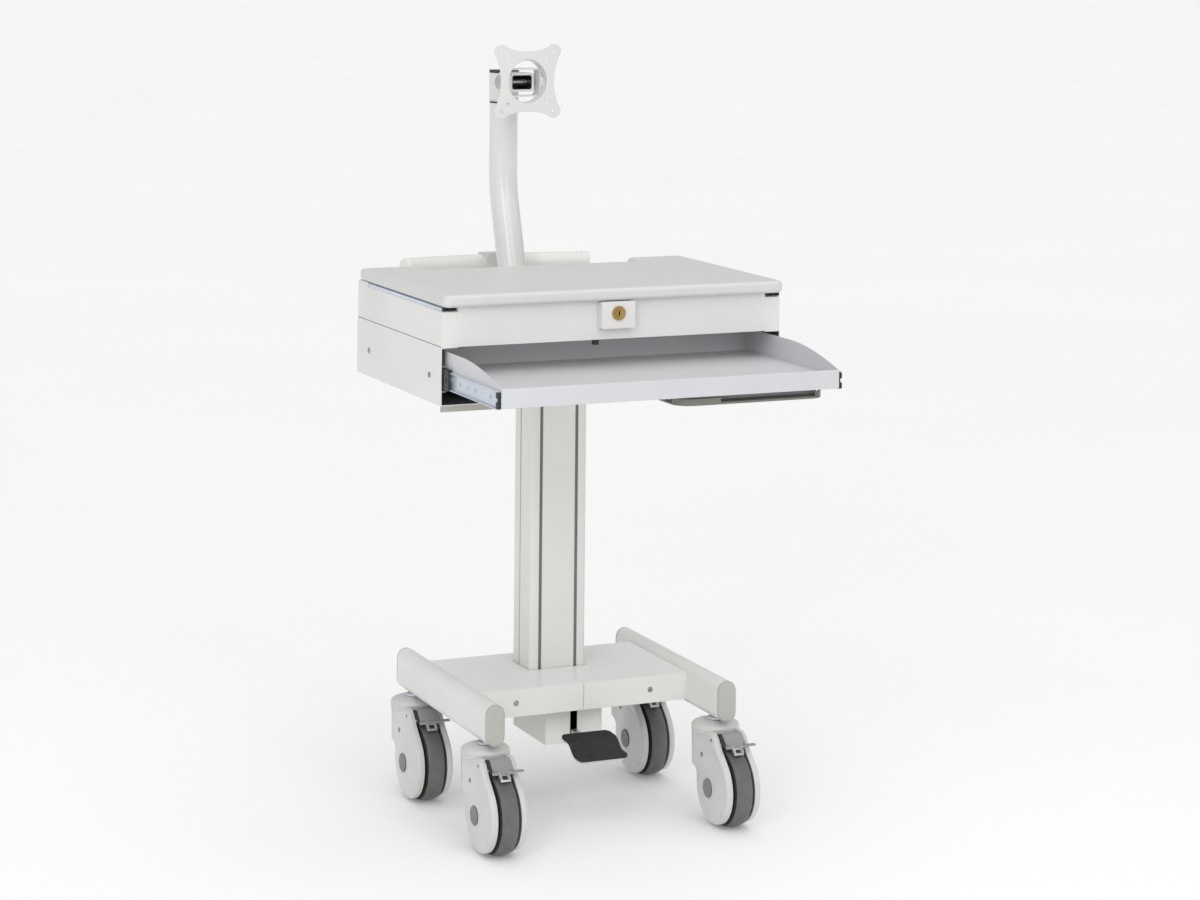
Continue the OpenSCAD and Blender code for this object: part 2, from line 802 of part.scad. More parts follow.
module vesa_plate() color(mount_grey) in_head()
  translate([0, -head_reach + plate_t, plate_z]) rotate([90, 0, 0]) {
    linear_extrude(plate_t) difference() {
      vesa_outline();
      circle(36.3, $fn = 96);
      for (half = [50, 37.5]) at_corners(half, half) circle(2.5);
    }
    // collar around the tilt frame's ring
    translate([0, 0, -11]) linear_extrude(11.5) ring(42, 38);
  }

// ---------- casters (own frame: swivel axis at the origin, floor at z = 0) ----------

axle_r = 6;
brake_pin_r = 3;

// dome over the swivel bearing, (radius, z)
dome_profile = [[0, 0], [38, 0], [38, 8], [36, 12], [31, 15], [22, 17.2], [0, 17.2]];

// upper part of the fork's side covers, (y, z)
side_cover_outline = [
  [27, 82], [27, 141], [-38, 145.5], [-44, 145.5], [-53, 140],
  [-66, 122], [-82, 106], [-40, 70], [7, 76]];

// wheel core, (radius, distance along the axle)
core_profile = [
  [axle_r + gap, -17], [14, -17], [16, -6], [40, -6], [42, -13], [45.95, -13],
  [45.95, 13], [42, 13], [40, 6], [16, 6], [14, 17], [axle_r + gap, 17]];

// 0 and 1 are front left and right, 2 and 3 rear left and right
module at_caster(i)
  translate([i % 2 == 0 ? -leg_x : leg_x, i < 2 ? -caster_y : caster_y, 0]) children();

module at_wheel() translate([0, -trail, wheel_r]) children();

module at_brake() translate([0, -46, 136]) children();

module turned_wheel()
  at_wheel() rotate([0, 90, 0]) rotate_extrude($fn = 96) children();

module fork() color(white) difference() {
  union() {
    translate([0, 0, 139]) rotate_extrude() polygon(dome_profile);
    translate([0, 0, 126.9]) linear_extrude(12.2) intersection() {
      circle(36);
      translate([-30, -34]) square([60, 70]);
    }
    both_sides() extrude_x(19, 30) {
      translate([-trail, wheel_r]) circle(57);
      polygon(side_cover_outline);
    }
    // raised centre of each cover
    both_sides() translate([30, -trail, wheel_r]) rotate([0, 90, 0])
      cylinder(h = 6, r1 = 48, r2 = 18);
  }
  translate([0, 0, 120]) cylinder(h = 40, r = swivel_r + gap);
  at_wheel() rod_x(axle_r + gap, -40, 40);
  at_brake() rod_x(brake_pin_r + gap, -40, 40);
}

module tyre() color(tyre_grey) turned_wheel() {
  half = tyre_w / 2;
  polygon([
    [46, -half + 2], [52, -half], [57, -half + 0.6], [60.5, -half + 4],
    [wheel_r - 0.4, -half + 9], [wheel_r, 0], [wheel_r - 0.4, half - 9],
    [60.5, half - 4], [57, half - 0.6], [52, half], [46, half - 2]]);
}

module wheel_core() color(grey) turned_wheel() polygon(core_profile);

// wheel axle with its end discs, and the brake's pin
module axle() color(grey) {
  at_wheel() {
    rod_x(axle_r, -37, 37);
    both_sides() rod_x(14.5, 36 + gap, 38);
  }
  at_brake() rod_x(brake_pin_r, -30, 30);
}

module brake_pedal() color(grey) difference() {
  union() {
    // boss, web and sloping plate
    at_brake() rod_x(7, -17, 17);
    extrude_x(-17, 17) polygon([[-46, 129], [-46, 143], [-55, 146], [-59, 143], [-52, 131]]);
    extrude_x(-18.6, 18.6) polygon([
      [-54, 146.5], [-59, 145.5], [-74.5, 130.5], [-74.5, 126.8], [-71, 126.8], [-56, 141.5]]);
    // tab towards +X
    box([18, -77.5, 128.2], [34, -71.5, 131.4]);
    // shoe above the tyre
    extrude_x(-8, 8) polygon([[-71, 129], [-72, 125.5], [-85, 118.5], [-86, 121], [-76, 129]]);
  }
  at_brake() rod_x(brake_pin_r + gap, -40, 40);
}

place() base_cover();
place() base_frame();
place() cover_screws();
place() legs();
place() leg_end_caps();
place() caster_stems();
place() column_outer();
place() column_guides();
place() gas_rod();
place() pedal_housing();
place() pedal_pivot_pin();
place() pedal_lever();
place() pedal_pad();
place() release_pin();
place() column_inner();
place() gas_cylinder();
place() lower_housing();
place() upper_housing();
place() housing_screws();
place() tray_rails_fixed();
place() worktop_rails_fixed();
place() drawer_catch();
place() lock_housing();
place() lock_barrel();
place() post_bracket();
place() monitor_post();
place() handle_bracket();
place() push_handle();
place() rail_ball_cages();
place() keyboard_tray();
place() tray_rails_moving();
place() mouse_tray();
place() worktop();
place() worktop_rails_moving();
place() lock_plug();
place() head_block();
place() head_trim();
place() tilt_frame();
place() tilt_bolt();
place() vesa_plate();
place() at_caster(0) fork();  // fork_fl
place() at_caster(0) tyre();  // tyre_fl
place() at_caster(0) wheel_core();  // wheel_core_fl
place() at_caster(0) axle();  // axle_fl
place() at_caster(0) brake_pedal();  // brake_pedal_fl
place() at_caster(1) fork();  // fork_fr
place() at_caster(1) tyre();  // tyre_fr
place() at_caster(1) wheel_core();  // wheel_core_fr
place() at_caster(1) axle();  // axle_fr
place() at_caster(1) brake_pedal();  // brake_pedal_fr
place() at_caster(2) fork();  // fork_rl
place() at_caster(2) tyre();  // tyre_rl
place() at_caster(2) wheel_core();  // wheel_core_rl
place() at_caster(2) axle();  // axle_rl
place() at_caster(2) brake_pedal();  // brake_pedal_rl
place() at_caster(3) fork();  // fork_rr
place() at_caster(3) tyre();  // tyre_rr
place() at_caster(3) wheel_core();  // wheel_core_rr
place() at_caster(3) axle();  // axle_rr
place() at_caster(3) brake_pedal();  // brake_pedal_rr
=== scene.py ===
import bpy, bmesh, math
import numpy as np
from mathutils import Vector, Matrix
from mathutils.geometry import tessellate_polygon


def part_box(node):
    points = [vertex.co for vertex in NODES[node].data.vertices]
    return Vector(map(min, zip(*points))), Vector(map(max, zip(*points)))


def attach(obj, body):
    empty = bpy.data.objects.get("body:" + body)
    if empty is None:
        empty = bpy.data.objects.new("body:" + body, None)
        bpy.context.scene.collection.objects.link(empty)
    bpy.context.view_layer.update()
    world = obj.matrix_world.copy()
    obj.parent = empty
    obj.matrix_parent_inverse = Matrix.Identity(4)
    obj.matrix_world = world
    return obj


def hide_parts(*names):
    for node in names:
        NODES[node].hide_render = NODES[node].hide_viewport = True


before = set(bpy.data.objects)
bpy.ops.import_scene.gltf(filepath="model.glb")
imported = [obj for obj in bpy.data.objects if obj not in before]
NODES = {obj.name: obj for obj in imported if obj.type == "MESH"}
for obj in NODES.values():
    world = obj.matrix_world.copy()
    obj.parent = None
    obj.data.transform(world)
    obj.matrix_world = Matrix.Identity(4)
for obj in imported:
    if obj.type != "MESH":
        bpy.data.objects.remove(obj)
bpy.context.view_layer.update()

# Lengths below are millimetres counted from the middle of the four legs, as in the design.
_lo, _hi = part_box("legs")
OY = (_lo.y + _hi.y) / 2
CAST = {"fl": (-1, -1), "fr": (1, -1), "rl": (-1, 1), "rr": (1, 1)}
LEG_X = (abs(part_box("caster_stems")[0].x) - 0.013) * 1000
CASTER_Y = ((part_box("caster_stems")[1].y - OY) - 0.013) * 1000
CASTER_AT = {k: (sx * LEG_X / 1000, sy * CASTER_Y / 1000 + OY, 0) for k, (sx, sy) in CAST.items()}

# ------------------------------------------------------------ mesh tools

def area2(p):
    q = np.roll(p, -1, 0)
    return float((p[:, 0] * q[:, 1] - q[:, 0] * p[:, 1]).sum())

def ccw(p):
    p = np.array(p, float)
    return p if area2(p) > 0 else p[::-1].copy()

def clean(p):
    p = np.array(p, float)
    keep = np.linalg.norm(p - np.roll(p, 1, 0), axis=1) > 1e-4
    return p[keep]

def inset(p, d):
    """Moves a loop by d towards the material, which is on its left."""
    e = np.roll(p, -1, 0) - p
    e /= np.linalg.norm(e, axis=1)[:, None]
    n = np.stack([-e[:, 1], e[:, 0]], 1)
    q = np.roll(n, 1, 0)
    m = (n + q) / np.maximum(0.25, 1 + (n * q).sum(1))[:, None]
    return p + m * d

def round_poly(pts, rad, seg=6):
    P = [Vector(p) for p in pts]
    n = len(P)
    if not hasattr(rad, "__len__"):
        rad = [rad] * n
    out = []
    for i in range(n):
        a, b, c = P[i - 1], P[i], P[(i + 1) % n]
        u, w = (a - b).normalized(), (c - b).normalized()
        ang = math.acos(max(-1, min(1, u.dot(w))))
        if rad[i] <= 0 or ang > math.pi - 0.02:
            out.append((b.x, b.y))
            continue
        t = min(rad[i] / math.tan(ang / 2), (a - b).length * 0.49, (c - b).length * 0.49)
        r = t * math.tan(ang / 2)
        ctr = b + (u + w).normalized() * (r / math.sin(ang / 2))
        p0, p1 = b + u * t, b + w * t
        a0, a1 = math.atan2(p0.y - ctr.y, p0.x - ctr.x), math.atan2(p1.y - ctr.y, p1.x - ctr.x)
        d = (a1 - a0 + math.pi) % (2 * math.pi) - math.pi
        for k in range(seg + 1):
            out.append((ctr.x + r * math.cos(a0 + d * k / seg), ctr.y + r * math.sin(a0 + d * k / seg)))
    return clean(out)

def rrect(x0, y0, x1, y1, r, seg=6):
    return round_poly([(x0, y0), (x1, y0), (x1, y1), (x0, y1)], r, seg)

def circle(cx, cy, r, n=32):
    return np.array([(cx + r * math.cos(2 * math.pi * i / n), cy + r * math.sin(2 * math.pi * i / n)) for i in range(n)])

def slab(outer, z0, z1, bt=0.5, bb=0.5, res=3, holes=(), pocket=None, depth=6.0):
    """A plate with rounded edges: bt and bb are the radii at its top and bottom.
    The pocket is a blind hole in the bottom."""
    loops = [ccw(clean(outer))] + [ccw(clean(h))[::-1].copy() for h in holes]
    lv = []
    for k in range(res + 1):
        a = math.pi / 2 * k / res
        lv.append((bb * (1 - math.sin(a)), z0 + bb * (1 - math.cos(a))))
    for k in range(res + 1):
        a = math.pi / 2 * k / res
        lv.append((bt * (1 - math.cos(a)), z1 - bt * (1 - math.sin(a))))
    lv = [l for i, l in enumerate(lv) if i == 0 or abs(l[0] - lv[i - 1][0]) + abs(l[1] - lv[i - 1][1]) > 1e-4]
    V, F, first, last = [], [], [], []
    for p in loops:
        n = len(p)
        base = len(V)
        for d, z in lv:
            V += [(x, y, z) for x, y in inset(p, d)]
        for k in range(len(lv) - 1):
            for i in range(n):
                j = (i + 1) % n
                F.append((base + k * n + i, base + k * n + j, base + (k + 1) * n + j, base + (k + 1) * n + i))
        first.append(list(range(base, base + n)))
        last.append(list(range(base + (len(lv) - 1) * n, base + len(lv) * n)))
    roof = []
    if pocket:
        p = ccw(clean(pocket))[::-1].copy()
        n, base = len(p), len(V)
        V += [(x, y, z0) for x, y in p] + [(x, y, z0 + depth) for x, y in p]
        F += [(base + i, base + (i + 1) % n, base + n + (i + 1) % n, base + n + i) for i in range(n)]
        first.append(list(range(base, base + n)))
        roof.append(list(range(base + n, base + 2 * n)))
    V = np.array(V, float)
    for group, up in ((first, False), (last, True), (roof, False)):
        if not group:
            continue
        flat = [i for g in group for i in g]
        for t in tessellate_polygon([[Vector((V[i][0], V[i][1], 0)) for i in g] for g in group]):
            a, b, c = (flat[i] for i in t)
            s = (V[b][0] - V[a][0]) * (V[c][1] - V[a][1]) - (V[b][1] - V[a][1]) * (V[c][0] - V[a][0])
            if abs(s) < 1e-12:
                continue
            F.append((a, b, c) if (s > 0) == up else (a, c, b))
    return V, F

def lathe(prof, n=48, closed=False):
    """Turns (r, z) points about z. An open profile starts and ends on the axis."""
    V, F, rings = [], [], []
    for r, z in prof:
        if r < 1e-6:
            rings.append([len(V)])
            V.append((0, 0, z))
        else:
            rings.append(list(range(len(V), len(V) + n)))
            V += [(r * math.cos(2 * math.pi * i / n), r * math.sin(2 * math.pi * i / n), z) for i in range(n)]
    m = len(rings)
    for k in range(m if closed else m - 1):
        a, b = rings[k], rings[(k + 1) % m]
        for i in range(n):
            j = (i + 1) % n
            if len(a) == 1 and len(b) == 1:
                continue
            if len(a) == 1:
                F.append((a[0], b[j], b[i]))
            elif len(b) == 1:
                F.append((a[i], a[j], b[0]))
            else:
                F.append((a[i], a[j], b[j], b[i]))
    return np.array(V, float), F

def sweep(secs):
    """Joins equal-length closed sections, and closes both ends with a fan."""
    n = len(secs[0])
    V = np.concatenate([np.array(s, float) for s in secs])
    F = []
    for k in range(len(secs) - 1):
        for i in range(n):
            j = (i + 1) % n
            F.append((k * n + i, k * n + j, (k + 1) * n + j, (k + 1) * n + i))
    V = np.concatenate([V, [np.mean(secs[0], 0)], [np.mean(secs[-1], 0)]])
    c0, c1 = len(V) - 2, len(V) - 1
    b = (len(secs) - 1) * n
    for i in range(n):
        j = (i + 1) % n
        F.append((c0, j, i))
        F.append((c1, b + i, b + j))
    return V, F

def tube(path, rad, n=32):
    path = [Vector(p) for p in path]
    secs = []
    for i, p in enumerate(path):
        t = (path[min(i + 1, len(path) - 1)] - path[max(i - 1, 0)]).normalized()
        u = t.orthogonal().normalized() if i == 0 else (u - t * u.dot(t)).normalized()
        w = t.cross(u)
        r = rad[i] if hasattr(rad, "__len__") else rad
        secs.append([tuple(p + (u * math.cos(2 * math.pi * k / n) + w * math.sin(2 * math.pi * k / n)) * r) for k in range(n)])
    return sweep(secs)

def yz(part):      # drawn in (y, z), thickness along x
    V, F = part
    return V[:, [2, 0, 1]], F

def xz(part):      # drawn in (x, z), thickness towards -y
    V, F = part
    return np.stack([V[:, 0], -V[:, 2], V[:, 1]], 1), F

def along_x(part): # turned about z, laid along x
    V, F = part
    return V[:, [2, 0, 1]], F

def along_y(part): # turned about z, laid towards -y
    return xz(part)

def mv(part, x=0, y=0, z=0):
    return part[0] + np.array([x, y, z]), part[1]

def mirror_x(part):
    V, F = part
    return V * np.array([-1, 1, 1]), [tuple(reversed(f)) for f in F]

def to_mesh(name, parts, angle=35):
    V, F, M = [], [], []
    k = 0
    for p in parts:
        v, f, m = p if len(p) == 3 else (p[0], p[1], 0)
        V += [tuple(a) for a in (v * 0.001)]
        F += [tuple(i + k for i in t) for t in f]
        M += [m] * len(f)
        k += len(v)
    me = bpy.data.meshes.new(name)
    me.from_pydata(V, [], F)
    me.validate()
    if len(me.polygons) == len(M):
        me.polygons.foreach_set("material_index", M)
    bm = bmesh.new()
    bm.from_mesh(me)
    bmesh.ops.remove_doubles(bm, verts=bm.verts, dist=1e-7)
    bmesh.ops.recalc_face_normals(bm, faces=bm.faces)
    bm.to_mesh(me)
    bm.free()
    me.shade_smooth()
    me.set_sharp_from_angle(angle=math.radians(angle))
    return me

def weight_normals(o):
    w = o.modifiers.new("normals", "WEIGHTED_NORMAL")
    w.mode, w.weight, w.keep_sharp = "FACE_AREA", 80, True

def piece(name, parts, body, mats, loc=None, nodes=(), slot=None, angle=35, me=None):
    me = me or to_mesh(name, parts, angle)
    o = bpy.data.objects.new(name, me)
    bpy.context.scene.collection.objects.link(o)
    o.location = (0, OY, 0) if loc is None else loc
    if not me.materials:
        for m in (mats if isinstance(mats, (list, tuple)) else [mats]):
            me.materials.append(m)
    weight_normals(o)
    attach(o, body)
    if nodes:
        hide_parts(*nodes)
    return o

# ------------------------------------------------------------ materials

def lin(c):
    return tuple((x / 255 / 12.92 if x / 255 <= 0.04045 else ((x / 255 + 0.055) / 1.055) ** 2.4) for x in c) + (1.0,)

class Mat:
    def __init__(s, name):
        s.m = bpy.data.materials.new(name)
        s.m.use_nodes = True
        s.N, s.L = s.m.node_tree.nodes, s.m.node_tree.links
        s.N.clear()
        s.out = s.N.new("ShaderNodeOutputMaterial")
        s.b = s.N.new("ShaderNodeBsdfPrincipled")
        s.L.new(s.b.outputs[0], s.out.inputs[0])
        s.tc = s.N.new("ShaderNodeTexCoord").outputs["Object"]
    def noise(s, scale, detail=3, rough=0.5, stretch=None):
        v = s.tc
        if stretch:
            mp = s.N.new("ShaderNodeMapping")
            mp.inputs["Scale"].default_value = stretch
            s.L.new(v, mp.inputs["Vector"])
            v = mp.outputs[0]
        n = s.N.new("ShaderNodeTexNoise")
        n.inputs["Scale"].default_value = scale
        n.inputs["Detail"].default_value = detail
        n.inputs["Roughness"].default_value = rough
        s.L.new(v, n.inputs["Vector"])
        return n.outputs["Fac"]
    def wave(s, scale, axis="X", dist=0.0):
        w = s.N.new("ShaderNodeTexWave")
        w.bands_direction = axis
        w.inputs["Scale"].default_value = scale
        w.inputs["Distortion"].default_value = dist
        s.L.new(s.tc, w.inputs["Vector"])
        return w.outputs["Fac"]
    def rng(s, src, a, b, lo=0.3, hi=0.7):
        r = s.N.new("ShaderNodeMapRange")
        r.inputs["From Min"].default_value, r.inputs["From Max"].default_value = lo, hi
        r.inputs["To Min"].default_value, r.inputs["To Max"].default_value = a, b
        s.L.new(src, r.inputs["Value"])
        return r.outputs[0]
    def math(s, op, a, b):
        n = s.N.new("ShaderNodeMath")
        n.operation = op
        for i, x in enumerate((a, b)):
            if isinstance(x, (int, float)):
                n.inputs[i].default_value = x
            else:
                s.L.new(x, n.inputs[i])
        return n.outputs[0]
    def mix(s, fac, a, b):
        n = s.N.new("ShaderNodeMix")
        n.data_type = "RGBA"
        if isinstance(fac, (int, float)):
            n.inputs[0].default_value = fac
        else:
            s.L.new(fac, n.inputs[0])
        for i, x in ((6, a), (7, b)):
            if isinstance(x, tuple):
                n.inputs[i].default_value = x
            else:
                s.L.new(x, n.inputs[i])
        return n.outputs[2]
    def bump(s, src, strength, dist, prev=None):
        n = s.N.new("ShaderNodeBump")
        n.inputs["Strength"].default_value = strength
        n.inputs["Distance"].default_value = dist
        s.L.new(src, n.inputs["Height"])
        if prev is not None:
            s.L.new(prev, n.inputs["Normal"])
        return n.outputs[0]
    def edge(s, radius):
        """1 on sharp outer edges, 0 on flats."""
        bv = s.N.new("ShaderNodeBevel")
        bv.samples = 4
        bv.inputs["Radius"].default_value = radius
        g = s.N.new("ShaderNodeNewGeometry")
        d = s.N.new("ShaderNodeVectorMath")
        d.operation = "DOT_PRODUCT"
        s.L.new(bv.outputs[0], d.inputs[0])
        s.L.new(g.outputs["Normal"], d.inputs[1])
        return s.rng(d.outputs["Value"], 1.0, 0.0, 0.90, 0.995)
    def set(s, color=None, rough=None, normal=None, **kw):
        for key, x in (("Base Color", color), ("Roughness", rough), ("Normal", normal)):
            if x is None:
                continue
            if isinstance(x, (int, float, tuple)):
                s.b.inputs[key].default_value = x
            else:
                s.L.new(x, s.b.inputs[key])
        for key, x in kw.items():
            s.b.inputs[key.replace("_", " ")].default_value = x
        return s.m

def scaled(c, k):
    return tuple(min(255, x * k) for x in c)

def powder(name, c, rough=0.45, peel=0.5, wear=0.35, coat=0.0, painted_top_light=None):
    """Powder-coated steel: orange peel, faint clouding, handling marks and dulled edges. The optional top colour is
    painted light: faces turned upwards are painted lighter.
    """
    m = Mat(name)
    col = m.mix(m.rng(m.noise(5, 4), 0, 1), lin(scaled(c, 0.975)), lin(scaled(c, 1.015)))
    # painted light: faces turned upwards (normal z 0.6 to 0.95) are painted towards the lighter top colour
    if painted_top_light:
        geo, sep = m.N.new("ShaderNodeNewGeometry"), m.N.new("ShaderNodeSeparateXYZ")
        m.L.new(geo.outputs["Normal"], sep.inputs[0])
        col = m.mix(m.rng(sep.outputs[2], 0, 1, 0.6, 0.95), col, lin(painted_top_light))
    col = m.mix(m.rng(m.noise(1400, 2), 0, 0.5), col, lin(scaled(c, 0.96)))
    smear = m.rng(m.noise(9, 2, 0.5, (1, 1, 0.3)), 0, 0.22, 0.5, 0.85)
    col = m.mix(smear, col, lin(scaled((c[0], c[1] * 0.997, c[2] * 0.985), 0.965)))
    worn = m.math("MULTIPLY", m.edge(0.0011), m.rng(m.noise(130, 4, 0.6), 0, wear, 0.42, 0.7))
    col = m.mix(worn, col, lin(scaled(c, 0.72)))
    r = m.math("ADD", m.rng(m.noise(30, 4), rough - 0.05, rough + 0.07), m.math("MULTIPLY", smear, 0.12))
    n = m.bump(m.noise(520, 1), 0.09 * peel, 0.0003)
    n = m.bump(m.noise(1500, 1), 0.04 * peel, 0.0001, n)
    return m.set(col, r, n, Coat_Weight=coat, Coat_Roughness=0.2, IOR=1.5)

def plastic(name, c, rough=0.4, grain=0.5, coat=0.0, wear=0.3, scale=1800):
    """Moulded plastic: fine spark-eroded grain, flow clouding and rubbed edges."""
    m = Mat(name)
    col = m.mix(m.rng(m.noise(9, 3), 0, 1), lin(scaled(c, 0.97)), lin(scaled(c, 1.02)))
    dust = m.rng(m.noise(60, 5, 0.6), 0, 0.22, 0.5, 0.72) if max(c) < 200 else m.rng(m.noise(12, 2), 0, 0.06, 0.45, 0.85)
    col = m.mix(dust, col, lin(tuple(x * 0.8 + 34 for x in c)))
    if wear:
        worn = m.math("MULTIPLY", m.edge(0.0008), m.rng(m.noise(180, 4), 0, wear, 0.4, 0.7))
        col = m.mix(worn, col, lin(tuple(x * 0.7 + 50 for x in c)))
    r = m.rng(m.noise(45, 4), rough - 0.06, rough + 0.08) if max(c) < 200 else m.rng(m.noise(20, 1), rough - 0.03, rough + 0.04)
    n = m.bump(m.noise(scale, 2), 0.22 * grain, 0.00015)
    return m.set(col, r, n, Coat_Weight=coat, Coat_Roughness=0.12, IOR=1.47)

def metal(name, c, rough=0.3, stretch=(1, 60, 1), tint=None, scratch=0.3, metallic=1.0):
    """Plated or brushed metal: drawn grain, blotchy tint and dull spots."""
    m = Mat(name)
    col = m.mix(m.rng(m.noise(16, 4), 0, 1), lin(scaled(c, 0.9)), lin(tint or scaled(c, 1.06)))
    streak = m.noise(420, 3, 0.6, tuple(1 / s for s in stretch))
    col = m.mix(m.rng(streak, 0, 0.4), col, lin(scaled(c, 0.82)))
    r = m.math("ADD", m.rng(streak, rough - 0.06, rough + 0.08), m.rng(m.noise(50, 5, 0.7), 0, 0.16, 0.5, 0.75))
    n = m.bump(streak, scratch, 0.00012)
    return m.set(col, r, n, Metallic=metallic)

def rubber(name, c, rough=0.72, ribs=None):
    """Moulded rubber: matt grain, dusty crown, scuffs."""
    m = Mat(name)
    col = m.mix(m.rng(m.noise(22, 5, 0.6), 0, 1), lin(scaled(c, 0.88)), lin(scaled(c, 1.10)))
    col = m.mix(m.rng(m.noise(240, 4, 0.7), 0, 0.35, 0.52, 0.7), col, lin(tuple(x * 0.75 + 45 for x in c)))
    r = m.rng(m.noise(70, 4), rough - 0.08, rough + 0.1)
    n = m.bump(m.noise(1500, 3), 0.35, 0.0002)
    n = m.bump(m.noise(90, 4), 0.12, 0.0006, n)
    return m.set(col, r, n, IOR=1.45)

def laminate(name, c):
    """Textured worktop laminate: pebble grain, faint fleck, wiping haze."""
    m = Mat(name)
    col = m.mix(m.rng(m.noise(4, 4), 0, 1), lin(scaled(c, 0.985)), lin(scaled(c, 1.01)))
    col = m.mix(m.rng(m.noise(900, 3, 0.6), 0, 0.55), col, lin(scaled(c, 0.965)))
    col = m.mix(m.rng(m.noise(2600, 2), 0, 0.35, 0.55, 0.7), col, lin(scaled(c, 1.04)))
    haze = m.rng(m.noise(7, 6, 0.7, (1, 2.5, 1)), -0.04, 0.08)
    r = m.math("ADD", m.rng(m.noise(600, 2), 0.36, 0.46), haze)
    n = m.bump(m.noise(1100, 2), 0.22, 0.00025)
    n = m.bump(m.noise(300, 2), 0.06, 0.0005, n)
    return m.set(col, r, n, IOR=1.5)

PAINT = powder("paint_white", (231, 230, 228))

def painted_inside_shade(name, c):
    """The same paint, with painted shade: the inside of the drawer housing is painted darker."""
    powder(name, c)
    m = bpy.data.materials[name]
    N, L = m.node_tree.nodes, m.node_tree.links
    b = next(n for n in N if n.type == "BSDF_PRINCIPLED")
    src = b.inputs["Base Color"].links[0].from_socket
    tc, sep = N.new("ShaderNodeTexCoord"), N.new("ShaderNodeSeparateXYZ")
    L.new(tc.outputs["Object"], sep.inputs[0])
    def op(kind, a, v):
        n = N.new("ShaderNodeMath")
        n.operation = kind
        L.new(a, n.inputs[0])
        if isinstance(v, float):
            n.inputs[1].default_value = v
        else:
            L.new(v, n.inputs[1])
        return n.outputs[0]
    ax = N.new("ShaderNodeMath")
    ax.operation = "ABSOLUTE"
    L.new(sep.outputs["X"], ax.inputs[0])
    lo_, hi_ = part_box("lower_housing")
    f = op("LESS_THAN", ax.outputs[0], hi_.x - 0.0008)
    f = op("MULTIPLY", f, op("GREATER_THAN", sep.outputs["Z"], lo_.z + 0.0098))
    f = op("MULTIPLY", f, op("GREATER_THAN", sep.outputs["Y"], lo_.y + 0.0006))
    f = op("MULTIPLY", f, op("LESS_THAN", sep.outputs["Y"], hi_.y - 0.0008))
    mx = N.new("ShaderNodeMix")
    mx.data_type = "RGBA"
    L.new(f, mx.inputs[0])
    L.new(src, mx.inputs[6])
    # painted shade: the dark grey given to the housing's inside
    mx.inputs[7].default_value = lin((84, 84, 86))
    # painted shade on the lip under the floor's front edge
    g = op("MULTIPLY", op("LESS_THAN", sep.outputs["Y"], lo_.y + 0.0021), op("LESS_THAN", sep.outputs["Z"], lo_.z + 0.0092))
    m2 = N.new("ShaderNodeMix")
    m2.data_type = "RGBA"
    L.new(g, m2.inputs[0])
    L.new(mx.outputs[2], m2.inputs[6])
    # painted shade: the lip's darker beige-grey
    m2.inputs[7].default_value = lin((176, 172, 164))
    L.new(m2.outputs[2], b.inputs["Base Color"])
    return m
PAINT_LOW = painted_inside_shade("paint_drawer_housing", (231, 230, 228))
SEAM = plastic("seam_shadow", (96, 95, 92), rough=0.7)
# painted light: the base's upward faces are painted lighter than its sides
PAINT_BASE = powder("paint_base", (230, 229, 226), rough=0.34, peel=0.15, wear=0.15, painted_top_light=(245, 244, 243))
TRAY = powder("paint_tray", (209, 210, 213), rough=0.5, peel=0.8)
ALU = powder("column_finish", (230, 229, 226), rough=0.38, peel=0.25, wear=0.2)
POST = powder("post_gloss", (226, 225, 223), rough=0.2, peel=0.2, wear=0.2, coat=0.6)
TOP = laminate("worktop_laminate", (216, 215, 214))
CAP = plastic("cap_grey", (176, 177, 171), rough=0.42)
BRACKET = plastic("bracket_grey", (210, 209, 206), rough=0.42)
STRIP = plastic("groove_strip", (116, 115, 111), rough=0.6)
# painted shadow: black for the shaded gap beside each tyre
SIDEW = rubber("tyre_side_black", (34, 35, 36))
SCREW = metal("screw_grey", (168, 168, 165), 0.4, (1, 1, 1), (176, 176, 174), 0.15)
WHITE = plastic("caster_white", (209, 208, 206), rough=0.3, grain=0.03, coat=0.3, wear=0)
HANDLE = plastic("handle_white", (229, 228, 225), rough=0.35, grain=0.6, wear=0.2)
GREY = plastic("brake_grey", (150, 150, 149), rough=0.45, grain=0.9)
HUB = plastic("hub_grey", (130, 129, 127), rough=0.5, grain=0.9)
DARK = plastic("dark_plastic", (38, 39, 41), rough=0.45, grain=0.8)
LINER = plastic("dark_gloss", (30, 31, 34), rough=0.16, grain=0.15, coat=0.6)
ZINC = metal("zinc_blue", (218, 230, 240), 0.3, (1, 40, 1), (228, 232, 244), 0.1, 0.45)
STEEL = metal("steel_bright", (206, 208, 210), 0.3, (40, 1, 1), None, 0.15, 0.8)
DSTEEL = powder("frame_dark", (118, 118, 118), rough=0.55, peel=1.0)
BRASS = metal("brass_lock", (186, 154, 92), 0.27, (1, 1, 1), (206, 172, 106), 0.2)
TYRE = rubber("tyre_grey", (100, 101, 99), rough=0.5)
PADR = rubber("pad_black", (41, 41, 42), rough=0.7)
# painted shade: the mouse tray is given the dark khaki it shows in the shade under the keyboard tray
MOUSE = plastic("mouse_beige", (118, 118, 111), rough=0.4)
# painted shade: colour of the dark sheets in the mouse tray's recess
RECESS = plastic("mouse_recess", (118, 113, 103), rough=0.55, grain=1.0)

def housing_mat():
    m = Mat("pedal_housing_ribbed")
    c = (238, 238, 233)
    ribs = m.wave(62, "X")
    col = m.mix(m.rng(ribs, 0, 0.30, 0.2, 0.8), lin(c), lin(scaled(c, 0.93)))
    col = m.mix(m.rng(m.noise(8, 4), 0, 0.6), col, lin(scaled(c, 0.965)))
    n = m.bump(ribs, 0.25, 0.0006)
    n = m.bump(m.noise(1100, 2), 0.08, 0.0003, n)
    return m.set(col, m.rng(m.noise(40, 4), 0.36, 0.48), n)
PEDH = housing_mat()

# ------------------------------------------------------------ CAD nodes that stay

